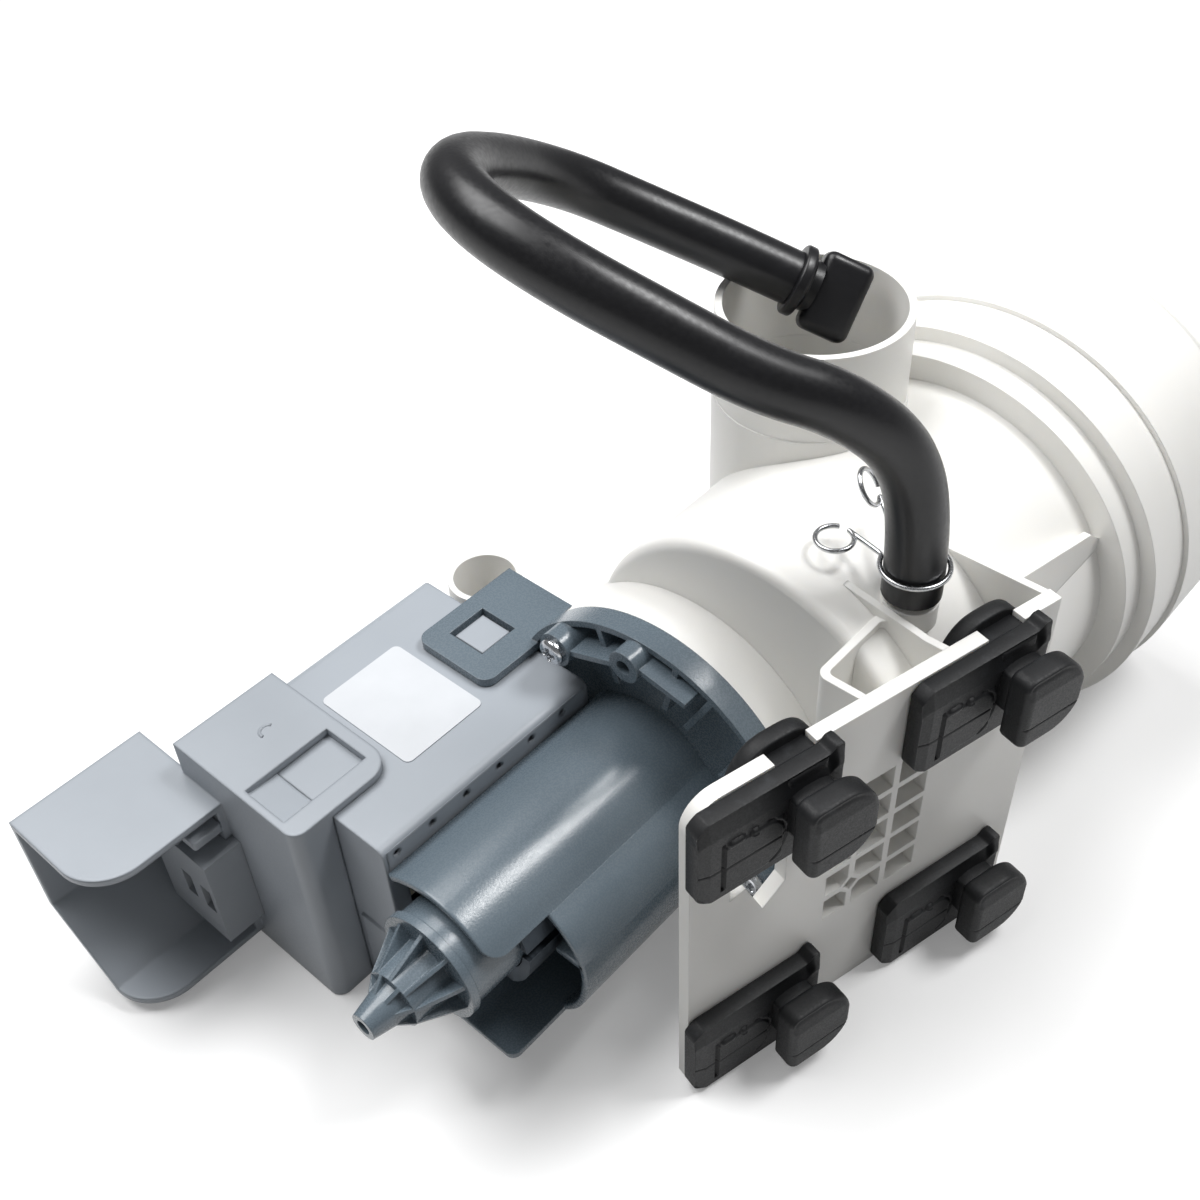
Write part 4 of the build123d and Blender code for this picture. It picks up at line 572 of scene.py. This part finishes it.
    lipStations = l0 + (l1 - l0) * (0.5 - 0.5 * np.cos(np.linspace(0, math.pi, grid["lip"][0])))
    lip = reliefBlock(lipStations, lambda s: lipTop - r["lipFoot"] + 0 * s, lipUpper, *r["lipOffsets"],
                      r["lipEdge"], rows=grid["lip"][1], backEdge=r["lipBackEdge"])
    makePiece(name, [slab, knob, neck, stem, lip], "mountRubber", "base",
              [name.replace("rubberMount", "rubber_mount_").lower()], smooth=50)


# where the mounts sit on the plate: the left ones' ends, the step to the right ones, and both rows' feet
mounts = dict(left=-1.7, pitch=68.0, upper=88.5, lower=1.0)
for row, foot, openNotch in (("U", mounts["upper"], True), ("L", mounts["lower"], False)):
    for side, step in (("L", 0), ("R", mounts["pitch"])):
        rubberMount("rubberMount" + row + side, mounts["left"] + step, foot, openNotch)
print("rubber mounts")


# the vent hose's route from its spigot to its fitting, as control points in mm; its length in metres
hose = dict(
    radius=7.8, roundSteps=12, alongSteps=16,
    route=[(-48.0, -66.5, 122.0), (-48.0, -66.5, 143.0), (-50.0, -61.5, 165.0), (-64.0, -51.5, 182.0),
           (-78.0, -38.0, 190.5), (-89.0, -20.0, 202.0), (-98.5, 0.5, 212.5), (-101.0, 21.5, 219.0),
           (-93.5, 39.5, 219.0), (-80.0, 51.0, 214.5), (-63.0, 57.5, 206.0), (-46.5, 61.0, 196.5),
           (-32.0, 58.5, 187.5), (-21.5, 49.5, 179.5), (-14.5, 40.0, 174.0), (-5.5, 25.0, 166.8),
           (3.6, 10.5, 159.0)],
    length=0.3185)

# the fitting on the hose's free end: a collar (radius, length), a throat and a flat block
fitting = dict(collar=(10.2, 3.4), soft=0.9, lift=0.05, throat=7.4, throatEnd=3.4, fillet=(0.8, 0.1, 0.9),
               block=(23.0, 9.0, 15.0), blockStart=2.4, round=3.0, edge=2.7, side=(-0.68, 0.0, -0.73))
fittingEnd = np.array(hose["route"][-1])
fittingDir = fittingEnd - np.array(hose["route"][-2])
collarRadius, collarLength = fitting["collar"]
soft, lift, throat = fitting["soft"], fitting["lift"], fitting["throat"]
filletWide, filletLow, filletHigh = fitting["fillet"]
throatEnd = collarLength + fitting["throatEnd"]
# the profile: a quarter circle at each edge of the collar, a small fillet, then the throat
a = np.linspace(0, math.pi / 2, 6)
collarProfile = np.concatenate([
    [(0.0, lift)],
    np.column_stack([collarRadius - soft + soft * np.sin(a), lift + soft - soft * np.cos(a)]),
    np.column_stack([collarRadius - soft + soft * np.cos(a), collarLength - soft + soft * np.sin(a)]),
    [(throat + filletWide, collarLength + filletLow), (throat, collarLength + filletHigh),
     (throat, throatEnd), (0.0, throatEnd)]])
blockWidth, blockHeight, blockDepth = fitting["block"]
block = pillow(blockWidth, blockHeight, [fitting["round"]] * 4, blockDepth, fitting["edge"])
block[..., 2] += collarLength + fitting["blockStart"]
hoseFitting = makePiece(
    "hoseFitting",
    [gridPart(inFrame(lathe(collarProfile), fittingEnd, fitting["side"], fittingDir)),
     gridPart(inFrame(block, fittingEnd, fitting["side"], fittingDir))],
    "hoseEpdm", "base", ["hose_end_fitting"])

# the wire clamp: a ring round the hose that ends in two finger loops, each as its middle and the way it faces
clamp = dict(wire=0.7, ring=8.8, height=130.5, ends=(100.0, 426.0), rise=0.4, loop=5.0, turn=335.0, lean=72.0,
             loops=[((-4.3, 21.3, 0.0), (0.0, 0.0, 1.0)), ((10.5, 21.3, 7.5), (-0.345, 0.747, -0.562))],
             ringPoints=160, loopPoints=60, points=520, soften=17, up=(0.15, 0.1, 1.0))
clampCentre = np.array([hose["route"][0][0], hose["route"][0][1], clamp["height"]])


def wireLoop(centre, normal, start, turn):
    # a circle about centre, square to normal: centre + radius * (u cos a + v sin a), u towards start; a begins
    # at lean, where the arm meets the loop and runs along it
    n = np.asarray(normal, float) / np.linalg.norm(normal)
    u = np.asarray(start, float) - centre
    u -= n * (u @ n)
    u /= np.linalg.norm(u)
    v = np.cross(n, u)
    a = np.linspace(0, math.radians(turn), clamp["loopPoints"])
    a -= math.copysign(math.radians(clamp["lean"]), turn)
    return centre + clamp["loop"] * (np.outer(np.cos(a), u) + np.outer(np.sin(a), v))


b = np.radians(np.linspace(*clamp["ends"], clamp["ringPoints"]))
climb = np.outer(np.linspace(-clamp["rise"], clamp["rise"], clamp["ringPoints"]), (0, 0, 1))
ring = clamp["ring"] * np.column_stack([np.cos(b), np.sin(b), 0 * b]) + climb
(firstMiddle, firstWay), (secondMiddle, secondWay) = clamp["loops"]
first = wireLoop(np.array(firstMiddle), firstWay, ring[0], -clamp["turn"])
second = wireLoop(np.array(secondMiddle), secondWay, ring[-1], clamp["turn"])
corners = np.concatenate([first[::-1], ring, second])
# the same path at even steps, then a running mean over a raised cosine rounds its bends
along = np.concatenate([[0], np.cumsum(np.linalg.norm(np.diff(corners, axis=0), axis=1))])
even = np.linspace(0, along[-1], clamp["points"])
wire = np.stack([np.interp(even, along, corners[:, i]) for i in range(3)], -1)
kernel = np.hanning(clamp["soften"]) / np.hanning(clamp["soften"]).sum()
beyond = clamp["soften"] // 2
padded = np.pad(wire, ((beyond, beyond), (0, 0)), mode="reflect", reflect_type="odd")
wire = np.stack([np.convolve(padded[:, i], kernel, "valid") for i in range(3)], -1)
hoseClamp = makePiece("hoseClamp", [gridPart(place(clampCentre + tube(wire, clamp["wire"], clamp["up"])))],
                      "springSteel", "base", ["hose_clamp"], smooth=60)

hoseCurve = bpy.data.curves.new("ventHose", "CURVE")
hoseCurve.dimensions = "3D"
hoseCurve.bevel_depth = hose["radius"] * mm
hoseCurve.bevel_resolution = hose["roundSteps"]
hoseCurve.resolution_u = hose["alongSteps"]
hoseCurve.use_fill_caps = True
spline = hoseCurve.splines.new("NURBS")
routePoints = place(hose["route"])
spline.points.add(len(routePoints) - 1)
spline.points.foreach_set("co", np.column_stack([routePoints, np.ones(len(routePoints))]).ravel())
spline.order_u = 3
spline.use_endpoint_u = True
ventHose = bpy.data.objects.new("ventHose", hoseCurve)
bpy.context.scene.collection.objects.link(ventHose)
hoseCurve.materials.append(material["hoseEpdm"])
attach(ventHose, "base")
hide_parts("vent_hose")
print("vent hose, fitting and clamp")


# the cover's screws: where they stand about the motor's axis, and the head's sizes
screw = dict(circle=44.5, angles=(51.0, 193.0, 268.0), axis=(-14.0, 52.5), seat=-97.5, radius=4.1, height=2.7,
             edgeShare=0.42, edgePower=5, recess=1.5, arm=(2.5, 0.55), armSoft=0.7, sideSoft=(0.25, 0.35),
             rim=(0.05, 1.2), shank=(2.0, 25.0), crossTurn=0.5, rings=34, steps=96)


def screwHead(angle):
    # a pan head: height * (1 - share * (r / radius)^5), with a cross pressed in where |x| is under the arm's
    # length and |y| under half its width
    r = np.linspace(0.0, 1.0, screw["rings"])[:, None] * screw["radius"]
    t = np.linspace(0, 2 * math.pi, screw["steps"], endpoint=False)[None, :]
    x, y = r * np.cos(t), r * np.sin(t)
    length, wide = screw["arm"]
    out, run = screw["sideSoft"]
    taper = lambda p, q: (smoothStep((length - np.abs(p)) / screw["armSoft"])
                          * smoothStep((wide + out - np.abs(q)) / run))
    dome = 1 - screw["edgeShare"] * (r / screw["radius"]) ** screw["edgePower"]
    z = screw["height"] * dome - screw["recess"] * np.maximum(taper(x, y), taper(y, x))
    head = np.stack([x, y, z], -1)
    ring = lambda radius, height: np.stack([radius * np.cos(t), radius * np.sin(t), height + 0 * t], -1)
    rimOut, rimHeight = screw["rim"]
    shankRadius, shankLength = screw["shank"]
    under = [ring(screw["radius"] + rimOut, rimHeight), ring(screw["radius"], 0.0), ring(shankRadius, 0.0),
             ring(shankRadius, -shankLength), ring(0.0, -shankLength)]
    turn = math.radians(angle)
    where = (screw["seat"], screw["axis"][0] + screw["circle"] * math.cos(turn),
             screw["axis"][1] + screw["circle"] * math.sin(turn))
    cross = turn + screw["crossTurn"]
    return gridPart(inFrame(np.concatenate([head, *under]), where, (0, math.cos(cross), math.sin(cross)),
                            (-1, 0, 0)), caps=False)


makePiece("coverScrews", [screwHead(angle) for angle in screw["angles"]], "zincSteel", "base",
          ["cover_screws"], smooth=40)
print("screws")

# the floor of the end cover's latch window: it falls from left to right in a straight line, with a shallow
# dish across, dish * sin(pi v)
latch = dict(x=(-183.4, -171.2), y=(33.0, 49.9), left=75.4, right=74.3, dish=0.3, foot=66.5, grid=(30, 24))
u = np.linspace(0, 1, latch["grid"][0])[:, None]
v = np.linspace(0, 1, latch["grid"][1])[None, :]
x = latch["x"][0] + u * (latch["x"][1] - latch["x"][0]) + 0 * v
y = latch["y"][0] + v * (latch["y"][1] - latch["y"][0]) + 0 * u
z = latch["left"] + (latch["right"] - latch["left"]) * u - latch["dish"] * np.sin(math.pi * v)
top = np.stack([x, y, z], -1)
foot = np.stack([x, y, latch["foot"] + 0 * z], -1)
makePiece("latchFloor", [gridPart(place(np.concatenate([top, foot[:, ::-1]], 1)))],
          "greyAbs", "base")

# a thin strip on the case's side; its face sinks by depth within radius of each vent, over a narrow rim
vents = dict(x=(-169.8, -93.5), z=(60.5, 73.4), face=7.28, back=7.48, wall=0.1, first=-166.5, pitch=12.7,
             count=6, height=70.6, radius=1.0, rim=0.15, depth=2.2, grid=(420, 90))
x = np.linspace(*vents["x"], vents["grid"][0])[:, None]
z = np.linspace(*vents["z"], vents["grid"][1])[None, :]
index = np.clip(np.round((x - vents["first"]) / vents["pitch"]), 0, vents["count"] - 1)
away = np.hypot(x - vents["first"] - vents["pitch"] * index, z - vents["height"])
sunk = vents["depth"] * smoothStep((vents["radius"] + vents["rim"] - away) / vents["rim"])
front = np.stack([x + 0 * z, vents["face"] + sunk, z + 0 * x], -1)
behind = np.maximum(vents["back"], vents["face"] + sunk + vents["wall"])
rear = np.stack([x + 0 * z, behind, z + 0 * x], -1)
makePiece("ventStrip", [gridPart(place(np.concatenate([front, rear[:, ::-1]], 1)))],
          "greyAbs", "base")

# the shelf and the rib over the plug socket, each by its ends in x, y and z
socket = dict(shelf=((-196.0, -186.3), (60.0, 76.0), (55.4, 58.6)),
              rib=((-196.6, -193.8), (70.0, 73.0), (50.1, 61.8)), round=1.0, edge=0.5)
blocks = []
for x, y, z in (socket["shelf"], socket["rib"]):
    points = pillow(x[1] - x[0], y[1] - y[0], [socket["round"]] * 4, z[1] - z[0], socket["edge"])
    foot = ((x[0] + x[1]) / 2, (y[0] + y[1]) / 2, z[0])
    blocks.append(gridPart(inFrame(points, foot, (1, 0, 0), (0, 0, 1))))
makePiece("socketShelf", blocks, "socketPolyamide", "base")

# the crescent mark on the end cover: an arc from and to these angles
mark = dict(middle=(-164.1, 61.6, 76.45), radius=2.3, wire=0.6, turn=(0.5, 3.4), points=40)
a = np.linspace(*mark["turn"], mark["points"])
arc = np.array(mark["middle"]) + mark["radius"] * np.column_stack([np.cos(a), np.sin(a), 0 * a])
makePiece("coverMark", [gridPart(place(tube(arc, mark["wire"], (0, 0, 1))))], "greyAbs", "base")
print("latch floor, vent strip, socket shelf and cover mark")

# the shroud over the rotor can: its hood, the lobe beside it and the wing below, as curves in y and z
shroud = dict(
    wall=2.0, front=-171.5, back=-86.4, lobeFront=-151.0, hoodRound=1.5, cornerRound=6.0, wingRound=3.0,
    rim=0.5, near=9.0, across=72, rimSteps=5, nearSteps=20, backSteps=30, curveSteps=600,
    hood=[(6.9, 66.3), (2.5, 68.9), (-3.0, 71.2), (-9.5, 72.5), (-16.0, 72.0), (-22.0, 69.8), (-27.4, 66.0),
          (-31.5, 61.5)],
    lobe=[(-31.5, 61.5), (-36.8, 57.4), (-40.8, 52.0), (-43.0, 45.5), (-43.2, 38.0), (-41.6, 30.0),
          (-38.4, 23.4), (-34.0, 18.0)],
    wing=[(-34.0, 18.0), (-20.0, 18.0), (-6.0, 18.0), (6.9, 18.0)],
    web=dict(x=(-151.0, -118.0), y=-37.6, wide=9.6, z=(46.0, 48.0), edge=0.3))


def curveThrough(points, count):
    # a Catmull-Rom curve through the points: at share f of a run, half of 2 p1 + (p2 - p0) f
    # + (2 p0 - 5 p1 + 4 p2 - p3) f^2 + (3 p1 - 3 p2 + p3 - p0) f^3
    p = np.asarray(points, float)
    p = np.concatenate([[2 * p[0] - p[1]], p, [2 * p[-1] - p[-2]]])
    t = np.linspace(0, len(points) - 1 - 1e-9, count)
    k = t.astype(int)
    f = (t - k)[:, None]
    p0, p1, p2, p3 = (p[k + i] for i in range(4))
    return 0.5 * (2 * p1 + (p2 - p0) * f + (2 * p0 - 5 * p1 + 4 * p2 - p3) * f ** 2
                  + (3 * p1 - 3 * p2 + p3 - p0) * f ** 3)


def shellStrip(points, x0, cornerStart=0.0, cornerEnd=0.0):
    # a curve in y and z carried along x as a wall: its outer face, and its inner one set in by wall along the
    # curve's normal. Near x0 the strip's ends draw back by corner - sqrt(corner^2 - (corner - x)^2), and the
    # front rim is rounded by drawing both faces in. The rows stand closer from x0 to near
    wall, rim, near = shroud["wall"], shroud["rim"], shroud["near"]
    fine = curveThrough(points, shroud["curveSteps"])
    run = np.concatenate([[0], np.cumsum(np.linalg.norm(np.diff(fine, axis=0), axis=1))])
    quarter = np.linspace(0, math.pi / 2, shroud["rimSteps"])
    rise = np.concatenate([rim * (1 - np.cos(quarter)), np.linspace(rim, near, shroud["nearSteps"])[1:],
                           np.linspace(near, shroud["back"] - x0, shroud["backSteps"])[1:]])
    drawn = np.concatenate([rim * (1 - np.sin(quarter)), np.zeros(len(rise) - len(quarter))])
    back = lambda corner: corner - np.sqrt(np.maximum(corner ** 2 - np.maximum(corner - rise, 0) ** 2, 0))
    share = np.linspace(0, 1, shroud["across"])[None, :]
    low, high = back(cornerStart)[:, None], run[-1] - back(cornerEnd)[:, None]
    at = low + share * (high - low)
    y, z = (np.interp(at, run, fine[:, i]) for i in range(2))
    slope = np.gradient(fine, run, axis=0)
    ny, nz = (np.interp(at, run, v) for v in (-slope[:, 1], slope[:, 0]))
    d = drawn[:, None]
    x = x0 + rise[:, None] + 0 * at
    outer = np.stack([x, y + ny * d, z + nz * d], -1)
    inner = np.stack([x, y + ny * (wall - d), z + nz * (wall - d)], -1)
    return gridPart(place(np.concatenate([outer, inner[:, ::-1]], 1)))


web = shroud["web"]
web0, web1 = web["x"]
webLow, webHigh = web["z"]
webPart = inFrame(pillow(web1 - web0, web["wide"], [web["edge"]] * 4, webHigh - webLow, web["edge"]),
                  ((web0 + web1) / 2, web["y"], webLow), (1, 0, 0), (0, 0, 1))
makePiece("coverShroud", [
    shellStrip(shroud["hood"], shroud["front"], shroud["hoodRound"], shroud["cornerRound"]),
    shellStrip(shroud["lobe"], shroud["lobeFront"]),
    shellStrip(shroud["wing"], shroud["front"], shroud["wingRound"], shroud["wingRound"]),
    gridPart(webPart)], "slatePolyamide", "base", ["cover_shroud"], smooth=30)
print("cover shroud")
